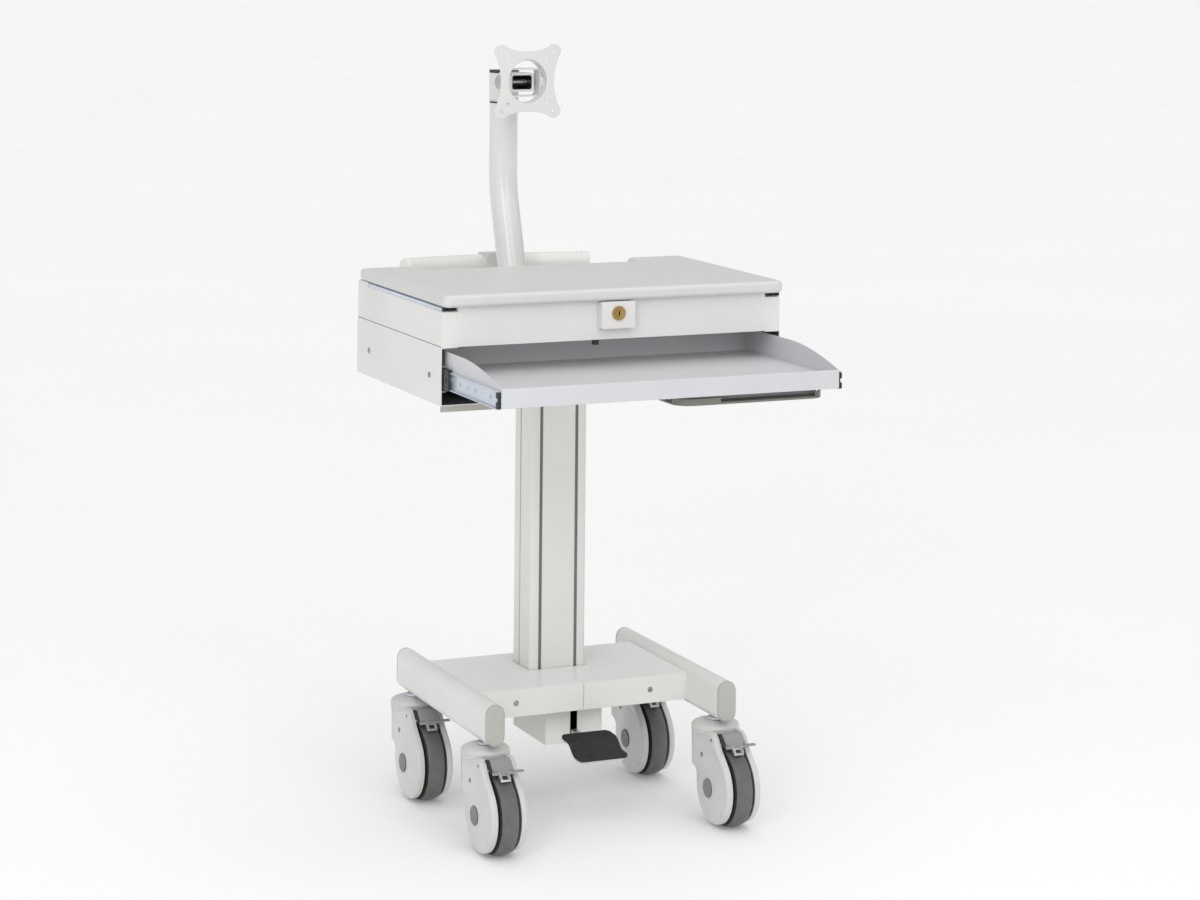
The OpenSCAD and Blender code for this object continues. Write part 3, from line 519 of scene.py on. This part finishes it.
def keep(node, mat, bevel=0.0, seg=2, angle=38):
    o = NODES[node]
    o.data.materials.clear()
    o.data.materials.append(mat)
    o.data.polygons.foreach_set("material_index", [0] * len(o.data.polygons))
    w = o.modifiers.new("weld", "WELD")
    w.merge_threshold = 1.5e-5
    d = o.modifiers.new("flat", "DECIMATE")
    d.decimate_type, d.angle_limit = "DISSOLVE", math.radians(0.3)
    if bevel:
        b = o.modifiers.new("edge", "BEVEL")
        b.width, b.segments, b.limit_method, b.angle_limit = bevel / 1000, seg, "ANGLE", math.radians(angle)
        b.use_clamp_overlap = True
    o.data.shade_smooth()
    weight_normals(o)
    return o

for n, m, b in (("base_cover", PAINT_BASE, 0.7), ("base_frame", DSTEEL, 0.5), ("cover_screws", SCREW, 0.3), ("legs", PAINT, 0.4),
        ("caster_stems", ZINC, 0.4), ("column_outer", ALU, 0.6), ("column_guides", DARK, 0.3), ("gas_rod", STEEL, 0.3),
        ("pedal_housing", PEDH, 0.7), ("pedal_pivot_pin", ZINC, 0.4), ("pedal_lever", STEEL, 0.5), ("release_pin", STEEL, 0.2),
        ("column_inner", ALU, 0.5), ("gas_cylinder", DARK, 0.5), ("lower_housing", PAINT_LOW, 0.6), ("upper_housing", PAINT, 0.7),
        ("housing_screws", SCREW, 0.3), ("tray_rails_fixed", ZINC, 0.25), ("worktop_rails_fixed", ZINC, 0.25), ("drawer_catch", DARK, 0.6),
        ("lock_housing", PAINT, 0.8), ("lock_barrel", BRASS, 0.5), ("post_bracket", PAINT, 0.8), 
        ("handle_bracket", BRACKET, 1.5), ("rail_ball_cages", DARK, 0.3), ("tray_rails_moving", ZINC, 0.25), ("mouse_tray", MOUSE, 0.7),
        ("worktop_rails_moving", ZINC, 0.25), ("lock_plug", BRASS, 0.3), ("head_block", POST, 1.0), ("head_trim", DARK, 0.7),
        ("tilt_frame", POST, 0.8), ("tilt_bolt", STEEL, 0.5)):
    keep(n, m, b)
for c in CAST:
    keep(f"wheel_core_{c}", HUB, 0.5)
    keep(f"axle_{c}", HUB, 0.7)

# ------------------------------------------------------------ worktop

lo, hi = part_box("worktop")
wx, wy0, wy1, wz0, wz1 = hi.x * 1000, (lo.y - OY) * 1000, (hi.y - OY) * 1000, lo.z * 1000, hi.z * 1000
nh, nd = 189, 54
outline = round_poly([(-wx, wy0), (wx, wy0), (wx, wy1), (nh, wy1), (nh, wy1 - nd), (-nh, wy1 - nd), (-nh, wy1), (-wx, wy1)],
    [13, 13, 7.5, 7, 14, 14, 7, 7.5], 10)
piece("worktop_board", [slab(outline, wz0, wz1, 6.6, 6.2, 8, pocket=[(-12.5, -183), (12.5, -183), (12.5, -172), (-12.5, -172)])], "top", TOP, nodes=["worktop"], slot="worktop", angle=60)

# ------------------------------------------------------------ dark joint between the two housings

llo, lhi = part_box("lower_housing")
jx, jy0, jy1, jz = (lhi.x * 1000 - 0.75), (llo.y - OY) * 1000, (lhi.y - OY) * 1000, lhi.z * 1000
j = [slab(rrect(jx - 1.1, jy0 + 1.2, jx, jy1 - 0.6, 0.3, 2), jz - 0.5, jz + 0.75, 0.1, 0.1, 2)]
j.append(slab(rrect(-jx, jy1 - 0.7, jx, jy1 + 0.2, 0.3, 2), jz - 0.5, jz + 0.75, 0.1, 0.1, 2))
piece("housing_joint", [j[0], mirror_x(j[0]), j[1]], "lift", SEAM, slot="dark_plastic")

# ------------------------------------------------------------ keyboard tray

lo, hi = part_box("keyboard_tray")
tx, ty0, ty1, tz0, tz1 = hi.x * 1000, (lo.y - OY) * 1000, (hi.y - OY) * 1000, 712.5, hi.z * 1000
fl = 730.0
pan_out = round_poly([(ty0, tz0), (ty0 + 1.2, tz0), (ty0 + 1.2, fl - 1.2), (ty1, fl - 1.2), (ty1, tz1), (ty1 - 1.2, tz1), (ty1 - 1.2, fl),
    (ty0 + 4, fl), (ty0 + 4, 741.2), (ty0, 741.2)], [0.5, 0.5, 1.8, 2.6, 0.5, 0.5, 1.6, 2.2, 1.7, 1.7], 5)
parts = [yz(slab(pan_out, -tx + 0.05, tx - 0.05, 0.15, 0.15, 2))]
side = [(ty1 - 0.1, tz0), (ty1 - 0.1, tz1), (-255, tz1)]
side += [(-255 + (ty0 + 1.4 + 255) * t, tz1 - (tz1 - 741.2) * t ** 1.75) for t in [i / 26 for i in range(1, 27)]]
side += [(ty0 + 1.4, tz0)]
wall = yz(slab(np.array(side), tx - 1.25, tx, 0.35, 0.35, 2))
hem = [(y, z) for y, z in side[2:-1]]
parts += [wall, mirror_x(wall)]
chan = [(-10, fl - 1.15), (-10, 702), (-3.4, 702), (-3.4, 703.8), (-8.6, 703.8), (-8.6, 727), (8.6, 727), (8.6, 703.8), (3.4, 703.8), (3.4, 702),
    (10, 702), (10, fl - 1.15)]
for y in (ty0 + 42, ty0 + 180):
    parts.append(yz(slab(np.array([(a + y, b) for a, b in chan]), 14, 256, 0.2, 0.2, 2)))
piece("keyboard_tray_pan", parts, "drawer", TRAY, nodes=["keyboard_tray"], slot="tray_paint", angle=40)

# black end lugs of the moving slides, one pair at each front corner
lug = []
for z0, z1 in ((712.2, 721.6), (727.4, 736.8)):
    lug.append(yz(slab(rrect(ty0 - 0.2, z0, ty0 + 9.5, z1, 1.6), tx + 0.1, tx + 5.2, 0.8, 0.4, 3)))
lug.append(yz(slab(rrect(ty0 + 1.4, 720, ty0 + 8.5, 729, 0.6), tx + 0.1, tx + 3.2, 0.4, 0.3, 2)))
piece("slide_end_lugs", lug + [mirror_x(p) for p in lug], "drawer", DARK, slot="dark_plastic")
# rivets along the moving slides
riv = [along_x(lathe([(0, 0), (2.9, 0), (2.9, 0.3), (2.3, 0.85), (1.2, 1.1), (0, 1.15)], 20)) for _ in range(3)]
riv = [mv(p, tx + 1.25, ty0 + 38 + 62 * i, 724.5) for i, p in enumerate(riv)]
piece("slide_rivets", riv + [mirror_x(p) for p in riv], "drawer", STEEL, slot="zinc")
# black front retainers of the ball cages
ret = [yz(slab(rrect(-216, 709.8, -196, 742.2, 2.2), tx + 5.75, tx + 7.65, 0.5, 0.4, 2, holes=[circle(-207, 726, 4.4, 20)]))]
ret.append(yz(slab(rrect(-216, 738.9, -190, 742.2, 1), tx + 2.4, tx + 7.6, 0.5, 0.4, 2)))
ret.append(yz(slab(rrect(-197.6, 707.4, -190, 710.6, 1), tx + 2.4, tx + 7.6, 0.5, 0.4, 2)))
piece("cage_retainers", ret + [mirror_x(p) for p in ret], "cages", DARK, slot="dark_plastic")
# black front ends of the worktop slides
e = [mv(xz(slab(rrect(264.5, 828.2, 287.4, 834.1, 1.0), 188.2, 191.9, 0.5, 0.4, 2, holes=[rrect(267.5, 829.8, 273.5, 832.6, 0.5, 3), rrect(277, 829.8, 284, 832.6, 0.5, 3)])))]
e.append(xz(slab(rrect(265.5, 829.0, 286.5, 833.4, 0.6), 186.2, 188.4, 0.3, 0.3, 2)))
piece("worktop_slide_ends", e + [mirror_x(p) for p in e], "top", DARK, slot="dark_plastic")

# mouse tray: painted shade, two dark sheets laid in the recess of its floor
lo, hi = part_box("mouse_tray")
mx0, mx1, my0, my1 = lo.x * 1000, hi.x * 1000, (lo.y - OY) * 1000, (hi.y - OY) * 1000
piece("mouse_floor_shade_sheet", [slab(rrect(84, my0 + 4.5, mx1 - 15, ty0 + 42 - 12, 9), 701.45, 702.0, 0.25, 0.1, 2),
    slab(rrect(84, ty0 + 42 + 12, mx1 - 6, ty0 + 180 - 12, 9), 701.45, 702.0, 0.25, 0.1, 2)], "mouse", RECESS, slot="pad_rubber")

# ------------------------------------------------------------ legs' end caps

def stadium(cx, cz, w, h, n=20):
    r, k = w / 2, (h - w) / 2
    p = [(cx + r * math.cos(a), cz + k + r * math.sin(a)) for a in np.linspace(0, math.pi, n)]
    return np.array(p + [(cx + r * math.cos(a), cz - k + r * math.sin(a)) for a in np.linspace(math.pi, 2 * math.pi, n)])

lo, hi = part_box("legs")
lw, lh, lyl = 31.0, (hi.z - lo.z) * 1000, (hi.y - lo.y) * 500
lzc = (hi.z + lo.z) * 500
capmax = (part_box("leg_end_caps")[1].y - OY) * 1000
parts = []
for sx in (-1, 1):
    st = stadium(sx * LEG_X, lzc, lw, lh)
    p = xz(slab(st, lyl + 0.02, capmax, 4.2, 0.35, 6))
    q = xz(slab(inset(ccw(st), 2.7), lyl - 10, lyl + 0.2, 0.3, 0.3, 2))
    for a in (p, q):
        parts += [a, (a[0] * np.array([1, -1, 1]), [tuple(reversed(f)) for f in a[1]])]
piece("leg_caps_moulded", parts, "base", CAP, nodes=["leg_end_caps"], slot="cap_plastic", angle=50)

# ------------------------------------------------------------ foot pedal pad

def pad_z(y):
    t = (-86 - y) / 84
    s = min(1, max(0, (t - 0.36) / 0.34))
    return 137 - 4.5 * t - 14.5 * s * s * (3 - 2 * s)

def pad_secs(half, y0, y1, up, dn, rc, ribs):
    secs, ys = [], np.concatenate([[y0 - 0.01], y0 - np.array([0.3, 1, 2, 3.5, 5.5, 8, 11]), np.arange(y0 - 12, y1 + 11.5, -0.8), y1 + np.array([11, 8, 5.5, 3.5, 2, 1, 0.3]), [y1 + 0.01]])
    for y in ys:
        d = min(y0 - y, y - y1)
        w = half if d >= rc else half - rc + math.sqrt(max(0.0, rc * rc - (rc - d) ** 2))
        zc = pad_z(min(-86, max(-170, y)))
        edge = min(1.0, d / 1.4)
        rib = 0.32 * (0.5 + 0.5 * math.sin((y0 - y) * 2 * math.pi / 4.2)) if ribs and 6 < d else 0.0
        zt, zb = zc - up - 1.0 * (1 - edge) ** 2 , zc - dn + 0.8 * (1 - edge) ** 2
        sec = []
        for k in range(6):
            a = math.pi / 2 * k / 5
            sec.append((w - 1.3 * (1 - math.sin(a)), y, zb + 1.3 * (1 - math.cos(a))))
        for k in range(6):
            a = math.pi / 2 * k / 5
            sec.append((w - 1.6 * (1 - math.cos(a)), y, zt - 1.6 * (1 - math.sin(a))))
        sec.append((w - 5, y, zt - rib))
        sec.append((0, y, zt - rib))
        full = sec + [(-x, yy, z) for x, yy, z in reversed(sec[:-1])]
        secs.append(full)
    return sweep(secs)

piece("pedal_pad_rubber", [pad_secs(42, -86, -170, 0.0, 5.0, 11, True)], "pedal", PADR, nodes=["pedal_pad"], slot="pad_rubber", angle=50)

# ------------------------------------------------------------ push handle

R, ha = 667.8, math.radians(14.75)
prof = [(0, 9.0), (0.05, 12.2), (0.5, 13.6), (1.4, 14.7), (3.0, 15.4), (5.0, 15.7), (13.6, 15.7), (14.2, 15.45), (14.25, 14.7), (14.9, 14.65), (15.0, 15.0), (16.5, 15.0)]
arc = R * ha * 2
st = [(s, r) for s, r in prof] + [(s, 15.0) for s in np.linspace(20, arc - 20, 44)] + [(arc - s, r) for s, r in reversed(prof)]
path, rad = [], []
for s, r in st:
    a = -ha + s / R
    path.append((R * math.sin(a), 322 - R + R * math.cos(a), 837))
    rad.append(r)
piece("push_handle_bar", [tube(path, rad, 40)], "lift", HANDLE, nodes=["push_handle"], slot="white_plastic", angle=50)

# ------------------------------------------------------------ monitor post

plo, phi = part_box("monitor_post")
bR, ba, pr = 190.0, math.radians(18.3), 24.15
y0p, y1p = 221.0, 278.0
bo, bh = bR * (1 - math.cos(ba)), bR * math.sin(ba)
ln = (y1p - y0p - 2 * bo) / math.sin(ba)
zmid = ln * math.cos(ba)
z0p = plo.z * 1000
ztop = 1113.0
zb1 = 766.0
path = [(0, y0p, z) for z in np.linspace(z0p, zb1, 8)]
path += [(0, y0p + bR * (1 - math.cos(a)), zb1 + bR * math.sin(a)) for a in np.linspace(0, ba, 14)[1:]]
path += [(0, y0p + bo + ln * t * math.sin(ba), zb1 + bh + ln * t * math.cos(ba)) for t in np.linspace(0, 1, 12)[1:]]
zb2 = zb1 + 2 * bh + zmid
path += [(0, y1p - bR * (1 - math.cos(a)), zb2 - bR * math.sin(a)) for a in np.linspace(ba, 0, 14)[1:]]
path += [(0, y1p, z) for z in np.linspace(zb2, ztop, 16)[1:]]
path = [path[0]] + [(0, path[0][1], path[0][2] + 0.6)] + path[1:-1] + [(0, y1p, ztop - 0.6), path[-1]]
radii = [pr - 0.6] + [pr] * (len(path) - 2) + [pr - 0.6]
piece("monitor_post_tube", [tube(path, radii, 64), mv(lathe([(0, 0), (15, 0), (15, 41.5), (14.5, 42), (0, 42)], 40), 0, y1p, ztop - 1)], "lift", POST,
    nodes=["monitor_post"], slot="post_paint", angle=45)

# ------------------------------------------------------------ strips at the bottom of the column's grooves

zc0, zc1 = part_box("column_outer")[0].z * 1000 + 0.5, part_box("column_outer")[1].z * 1000 - 0.5
cy0, cy1 = (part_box("column_outer")[0].y - OY) * 1000, (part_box("column_outer")[1].y - OY) * 1000
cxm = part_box("column_outer")[1].x * 1000
gy = (cy0 + cy1) / 2 + 8.5
st = []
for sx in (-1, 1):
    st.append(slab(rrect(sx * 31 - 2.6, cy0 + 2.0, sx * 31 + 2.6, cy0 + 4.4, 0.5, 3), zc0, zc1, 0.2, 0.2, 2))
    st.append(slab(rrect(sx * 31 - 2.6, cy1 - 4.4, sx * 31 + 2.6, cy1 - 2.0, 0.5, 3), zc0, zc1, 0.2, 0.2, 2))
    a, b = sorted((sx * (cxm - 4.4), sx * (cxm - 2.0)))
    st.append(slab(rrect(a, gy - 2.1, b, gy + 2.1, 0.5, 3), zc0, zc1, 0.2, 0.2, 2))
piece("column_groove_strips", st, "base", STRIP, slot="dark_plastic", angle=50)

# ------------------------------------------------------------ monitor head

pan = math.radians(7.4)
HEAD = Matrix.Translation((0, 0.278 + OY, 0)) @ Matrix.Rotation(pan, 4, "Z")

def head_piece(name, parts, body, mat, **kw):
    me = to_mesh(name, parts, kw.pop("angle", 40))
    me.transform(HEAD)
    return piece(name, None, body, mat, loc=(0, 0, 0), me=me, **kw)

side = [(50.5 + 11.5 * abs(t) ** 2.2, 50 * t) for t in np.linspace(-0.78, 0.78, 25)]
corner = [(50 + 12.1 * math.cos(a), 50 + 12.1 * math.sin(a)) for a in np.radians(np.linspace(-38, 128, 19))]
one = np.array(side + corner)
out = []
for q in range(4):
    c, s = math.cos(q * math.pi / 2), math.sin(q * math.pi / 2)
    out.append(np.stack([one[:, 0] * c - one[:, 1] * s, one[:, 0] * s + one[:, 1] * c], 1))
out = np.concatenate(out)
holes = [circle(x, y, 2.5, 24) for x in (-50, 50) for y in (-50, 50)] + [circle(x, y, 2.5, 24) for x in (-37.5, 37.5) for y in (-37.5, 37.5)]
zc = (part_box("vesa_plate")[0].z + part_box("vesa_plate")[1].z) * 500
out[:, 0] *= 1 + 0.035 * np.clip((np.abs(out[:, 0]) - 46) / 10, 0, 1)
plate = slab(out, 79.5, 82.0, 0.95, 0.5, 4, holes=holes + [circle(0, 0, 36.4, 96)])
ringp = lathe([(38.03, 68.5), (41.2, 68.5), (42.0, 69.3), (42.0, 79.6), (38.03, 79.6)], 96, closed=True)
head_piece("vesa_plate_pressed", [mv(xz(plate), 0, 0, zc), mv(xz(ringp), 0, 0, zc)], "plate", POST, nodes=["vesa_plate"], slot="post_paint")
kz = 1150.5
liner = slab(rrect(-18.9, -11.9, 18.9, 11.9, 3.9), 23.0, 61.6, 0.2, 0.1, 2, holes=[rrect(-17.9, -10.9, 17.9, 10.9, 3.0)])
back = slab(rrect(-18.5, -11.5, 18.5, 11.5, 3.5), 22.2, 23.4, 0.2, 0.1, 2)
head_piece("arm_liner", [mv(xz(liner), 0, 0, kz), mv(xz(back), 0, 0, kz)], "head_pan", LINER, slot="dark_plastic")

# ------------------------------------------------------------ casters

W = (-48.0, 62.5)
arcp = [(W[0] + 57 * math.cos(a), W[1] + 57 * math.sin(a)) for a in np.radians(np.arange(134, 373, 5))]
cov = round_poly([(27, 82), (27, 141.4), (-38, 145.8), (-44.5, 145.8), (-53.5, 140), (-66.5, 123)] + arcp + [(13.5, 78)], [4, 3, 12, 5, 8, 24] + [0] * len(arcp) + [5], 8)
cover = yz(slab(cov, 19, 30, 5.0, 1.2, 8))
dome = mv(along_x(lathe([(0, 24), (50, 24), (53.2, 27.6), (52.6, 29.2), (49.5, 30.5), (44, 31.5), (36, 33.1), (26, 34.8), (17, 35.8), (15.4, 35.9), (15.2, 35.2), (0, 35.2)], 96)), 0, W[0], W[1])
neck = slab(round_poly([(-28.6, -34), (28.6, -34), (28.6, 25.5), (-28.6, 25.5)], [6, 6, 12, 12], 8), 127, 140.5, 3, 1.5, 4, holes=[circle(0, 0, 11.0, 40)])
fork_me = to_mesh("fork_moulding", [cover, mirror_x(cover), dome, mirror_x(dome), neck], 40)
cap_me = to_mesh("swivel_cap", [lathe([(11.0, 139.2), (36.6, 139.2), (37.7, 139.8), (38.0, 140.8), (38.0, 143.4), (37.3, 143.9), (37.3, 144.5), (38.0, 145.0), (38.0, 147.2),
    (37.3, 149.7), (35.4, 151.9), (31.6, 153.8), (25, 155.2), (17, 156.0), (11.6, 156.1), (11.0, 155.4)], 96, closed=True)], 40)
w = 14.2
tp = [(45.9, -w + 0.5), (58.4, -w + 0.1), (59.6, -w + 0.9), (60.7, -w + 3.0), (61.5, -w + 5.8), (62.1, -w + 9.5), (62.4, -w + 14.2)]
tp = tp + [(r, -z) for r, z in reversed(tp[:-1])]
tyre_me = to_mesh("tyre_tread", [mv(along_x(lathe(tp, 128, closed=True)), 0, W[0], W[1])], 60)
# painted shadow: black rings on both sides of the tyre stand for the shaded gap between tyre and fork covers
sw = [(45.95, 13.0), (45.95, 15.2), (47, 16.0), (51, 16.35), (56, 16.2), (58.6, 15.6), (59.3, 14.9), (59.0, 14.1), (57.5, 13.0)]
sw = mv(along_x(lathe(sw, 128, closed=True)), 0, W[0], W[1])
side_me = to_mesh("tyre_gap_shadow_rings", [sw, mirror_x(sw)], 60)
# brake pedal
pl = round_poly([(-51, 147.2), (-57.5, 146.6), (-74.8, 130.8), (-74.8, 127.4), (-71.8, 127.4), (-71.6, 129.4), (-56, 143.4), (-51, 143.8)],
    [1, 3.5, 2.2, 1.1, 0.9, 1.2, 2.5, 0.8], 5)
top_plate = yz(slab(pl, -15.6, 18.5, 1.0, 1.0, 3))
side = [(-44, 129.5), (-43, 143), (-52, 146.4), (-57, 144.9), (-73, 130), (-70.5, 128.2), (-54, 133)]
cheek = yz(slab(round_poly(side, [3, 3, 2, 2, 1, 1, 4], 4), 16.6, 18.4, 0.4, 0.3, 2))
# painted shade: a black leaf on the pedal's left side fills the slot beside the flap, which lies in shade
slot_shade_leaf = yz(slab(round_poly(side, [3, 3, 2, 2, 1, 1, 4], 4), -18.5, -15.9, 0.3, 0.3, 2))
ridge = yz(slab(round_poly([(-77.4, 128.2), (-77, 131.6), (-73.6, 132.4), (-72, 129.8), (-73.2, 127.4), (-76.2, 127)], 1.1, 4), -17.6, 19.5, 0.8, 0.8, 3))
tab = yz(slab(round_poly([(-77, 128.8), (-76.8, 131.4), (-71.2, 132.2), (-70.6, 129.6)], 0.9, 4), 18.5, 34.0, 1.2, 0.4, 3))
hub = along_x(lathe([(0, -16.6), (6.6, -16.6), (7.0, -16.0), (7.0, 16.0), (6.6, 16.6), (0, 16.6)], 32))
hub = mv(hub, 0, -46, 136)
web = yz(slab(round_poly([(-46, 130), (-46, 142), (-54, 145), (-57, 142.5), (-52, 132)], 2, 4), -14, 14, 0.6, 0.6, 2))
notch = [yz(slab(round_poly([(-75.6, 133.2), (-74.8, 136), (-72, 135.6), (-73, 132.6)], 0.6, 3), a, a + 3.4, 0.4, 0.4, 2)) for a in (-14.6, 13.4)]
shoe = yz(slab(round_poly([(-71, 129.6), (-72, 126.2), (-79.5, 122.2), (-85, 118.6), (-86.8, 119.8), (-85.8, 122.2), (-80, 126), (-75, 129.6)], [0.6, 1.2, 2, 0.8, 0.8, 0.8, 2, 0.6], 4), -8.2, 8.2, 0.5, 0.5, 3))
ears = [yz(slab(round_poly([(-75, 129.4), (-86, 122.0), (-86.4, 124.8), (-76, 131.8)], 0.8, 3), a, a + 1.7, 0.4, 0.4, 2)) for a in (-8.2, 6.5)]
inlay = yz(slab(round_poly([(-79.2, 126.2), (-85.0, 122.4), (-85.3, 123.2), (-79.4, 127.1)], 0.3, 2), -4.2, 4.2, 0.2, 0.2, 2))
brake_me = to_mesh("brake_parts", [p + (0,) for p in [top_plate, cheek, hub, web, ridge, tab] + notch] + [slot_shade_leaf + (1,)] + [shoe + (2,)] + [p + (2,) for p in ears] + [inlay + (1,)], 40)
for m in (GREY, DARK, STEEL):
    brake_me.materials.append(m)
rivet = lathe([(0, 0), (3.6, 0), (3.9, 0.5), (3.7, 0.9), (2.6, 1.0), (2.2, 0.6), (0, 0.5)], 24)
rivet = mv(along_x(rivet), 29.6, -13, 106)
rivet_me = to_mesh("cover_rivets", [rivet, mirror_x(rivet)], 40)
for c, at in CASTER_AT.items():
    body = f"caster_{c}"
    piece(f"fork_shell_{c}", None, body, WHITE, loc=at, me=fork_me, nodes=[f"fork_{c}"], slot="white_plastic")
    piece(f"swivel_cap_{c}", None, body, WHITE, loc=at, me=cap_me, slot="white_plastic")
    piece(f"cover_rivets_{c}", None, body, HUB, loc=at, me=rivet_me, slot="grey_plastic")
    piece(f"tyre_tread_{c}", None, f"wheel_{c}", TYRE, loc=at, me=tyre_me, nodes=[f"tyre_{c}"], slot="tyre_rubber")
    piece(f"tyre_gap_shadow_rings_{c}", None, f"wheel_{c}", SIDEW, loc=at, me=side_me, slot="tyre_rubber")
    piece(f"brake_parts_{c}", None, f"brake_{c}", GREY, loc=at, me=brake_me, nodes=[f"brake_pedal_{c}"], slot="grey_plastic")

# ------------------------------------------------------------ floor, light, camera

me = bpy.data.meshes.new("floor")
me.from_pydata([(-60, -60, 0), (60, -60, 0), (60, 60, 0), (-60, 60, 0)], [], [(0, 1, 2, 3)])
floor = bpy.data.objects.new("floor", me)
bpy.context.scene.collection.objects.link(floor)
floor.location = (0, 0, -0.0002)
m = Mat("floor_pale")
m.set(m.mix(m.rng(m.noise(0.8, 3), 0, 1), (0.86, 0.86, 0.86, 1), (0.88, 0.88, 0.88, 1)), 0.9, None)
m.b.inputs["Emission Color"].default_value = (1, 1, 1, 1)
m.b.inputs["Emission Strength"].default_value = 0.12
m.b.inputs["Specular IOR Level"].default_value = 0.1
floor.data.materials.append(m.m)

sc = bpy.context.scene
sc.view_settings.view_transform = "Standard"
world = bpy.data.worlds.new("studio")
sc.world = world
world.use_nodes = True
wn, wl = world.node_tree.nodes, world.node_tree.links
bg = wn["Background"]
bg.inputs["Color"].default_value = (1, 1, 1, 1)
bg.inputs["Strength"].default_value = 0.52
lp, mr = wn.new("ShaderNodeLightPath"), wn.new("ShaderNodeMapRange")
mr.inputs["To Min"].default_value, mr.inputs["To Max"].default_value = 0.52, 1.0
wl.new(lp.outputs["Is Camera Ray"], mr.inputs["Value"])
wl.new(mr.outputs[0], bg.inputs["Strength"])

def sun(name, direction, strength, angle):
    l = bpy.data.lights.new(name, "SUN")
    l.energy, l.angle = strength, math.radians(angle)
    o = bpy.data.objects.new(name, l)
    sc.collection.objects.link(o)
    o.rotation_mode = "QUATERNION"
    o.rotation_quaternion = Vector(direction).to_track_quat("-Z", "Y")
    return o

sun("key", (0.30, 0.80, -0.72), 0.60, 50)
sun("fill", (0.95, 0.45, -0.45), 0.27, 60)
sun("top", (-0.15, 0.1, -1.0), 0.80, 70)

def strip(name, at, to, w, h, power):
    l = bpy.data.lights.new(name, "AREA")
    l.shape, l.size, l.size_y, l.energy = "RECTANGLE", w, h, power
    o = bpy.data.objects.new(name, l)
    sc.collection.objects.link(o)
    o.location = at
    o.rotation_mode = "QUATERNION"
    o.rotation_quaternion = (Vector(to) - Vector(at)).to_track_quat("-Z", "Y")
    return o

strip("softbox_left", (-1.9, -2.1, 1.7), (0, 0.2, 0.8), 0.22, 1.5, 8)
strip("softbox_right", (0.5, -2.9, 1.8), (0, 0.2, 0.8), 0.22, 1.5, 8)

yaw, pitch, roll = (math.radians(a) for a in (23.788263, -0.885284, 0.508892))
fwd = Vector((math.sin(yaw) * math.cos(pitch), math.cos(yaw) * math.cos(pitch), -math.sin(pitch)))
right = Vector((math.cos(yaw), -math.sin(yaw), 0))
up = right.cross(fwd)
r2 = right * math.cos(roll) + up * math.sin(roll)
u2 = -right * math.sin(roll) + up * math.cos(roll)
cam = bpy.data.cameras.new("camera")
camo = bpy.data.objects.new("camera", cam)
sc.collection.objects.link(camo)
CZ = 1.437136
M = Matrix((r2, u2, -fwd)).transposed().to_4x4()
M.translation = Vector((-1.965313, -4.577255 + OY, CZ))
camo.matrix_world = M
cam.sensor_width, cam.lens = 36, 92.252
cam.clip_start, cam.clip_end = 0.05, 200
SH = (-134.74 - 450) / 1200
cam.shift_y = SH
# the lens shift belongs to the photo's camera height only; other views use an unshifted lens
fc = cam.driver_add("shift_y")
for md in list(fc.modifiers):
    fc.modifiers.remove(md)
fc.driver.type = "SUM"
for i in range(10):
    v = fc.driver.variables.new()
    v.type = "TRANSFORMS"
    v.targets[0].id = camo
    v.targets[0].transform_type = "LOC_Z"
    v.targets[0].transform_space = "WORLD_SPACE"
for x, y in ((CZ * 10 - 0.06, 0), (CZ * 10 - 0.03, SH), (CZ * 10 + 0.03, SH), (CZ * 10 + 0.06, 0)):
    k = fc.keyframe_points.insert(x, y)
    k.interpolation = "LINEAR"
fc.extrapolation = "CONSTANT"
sc.camera = camo
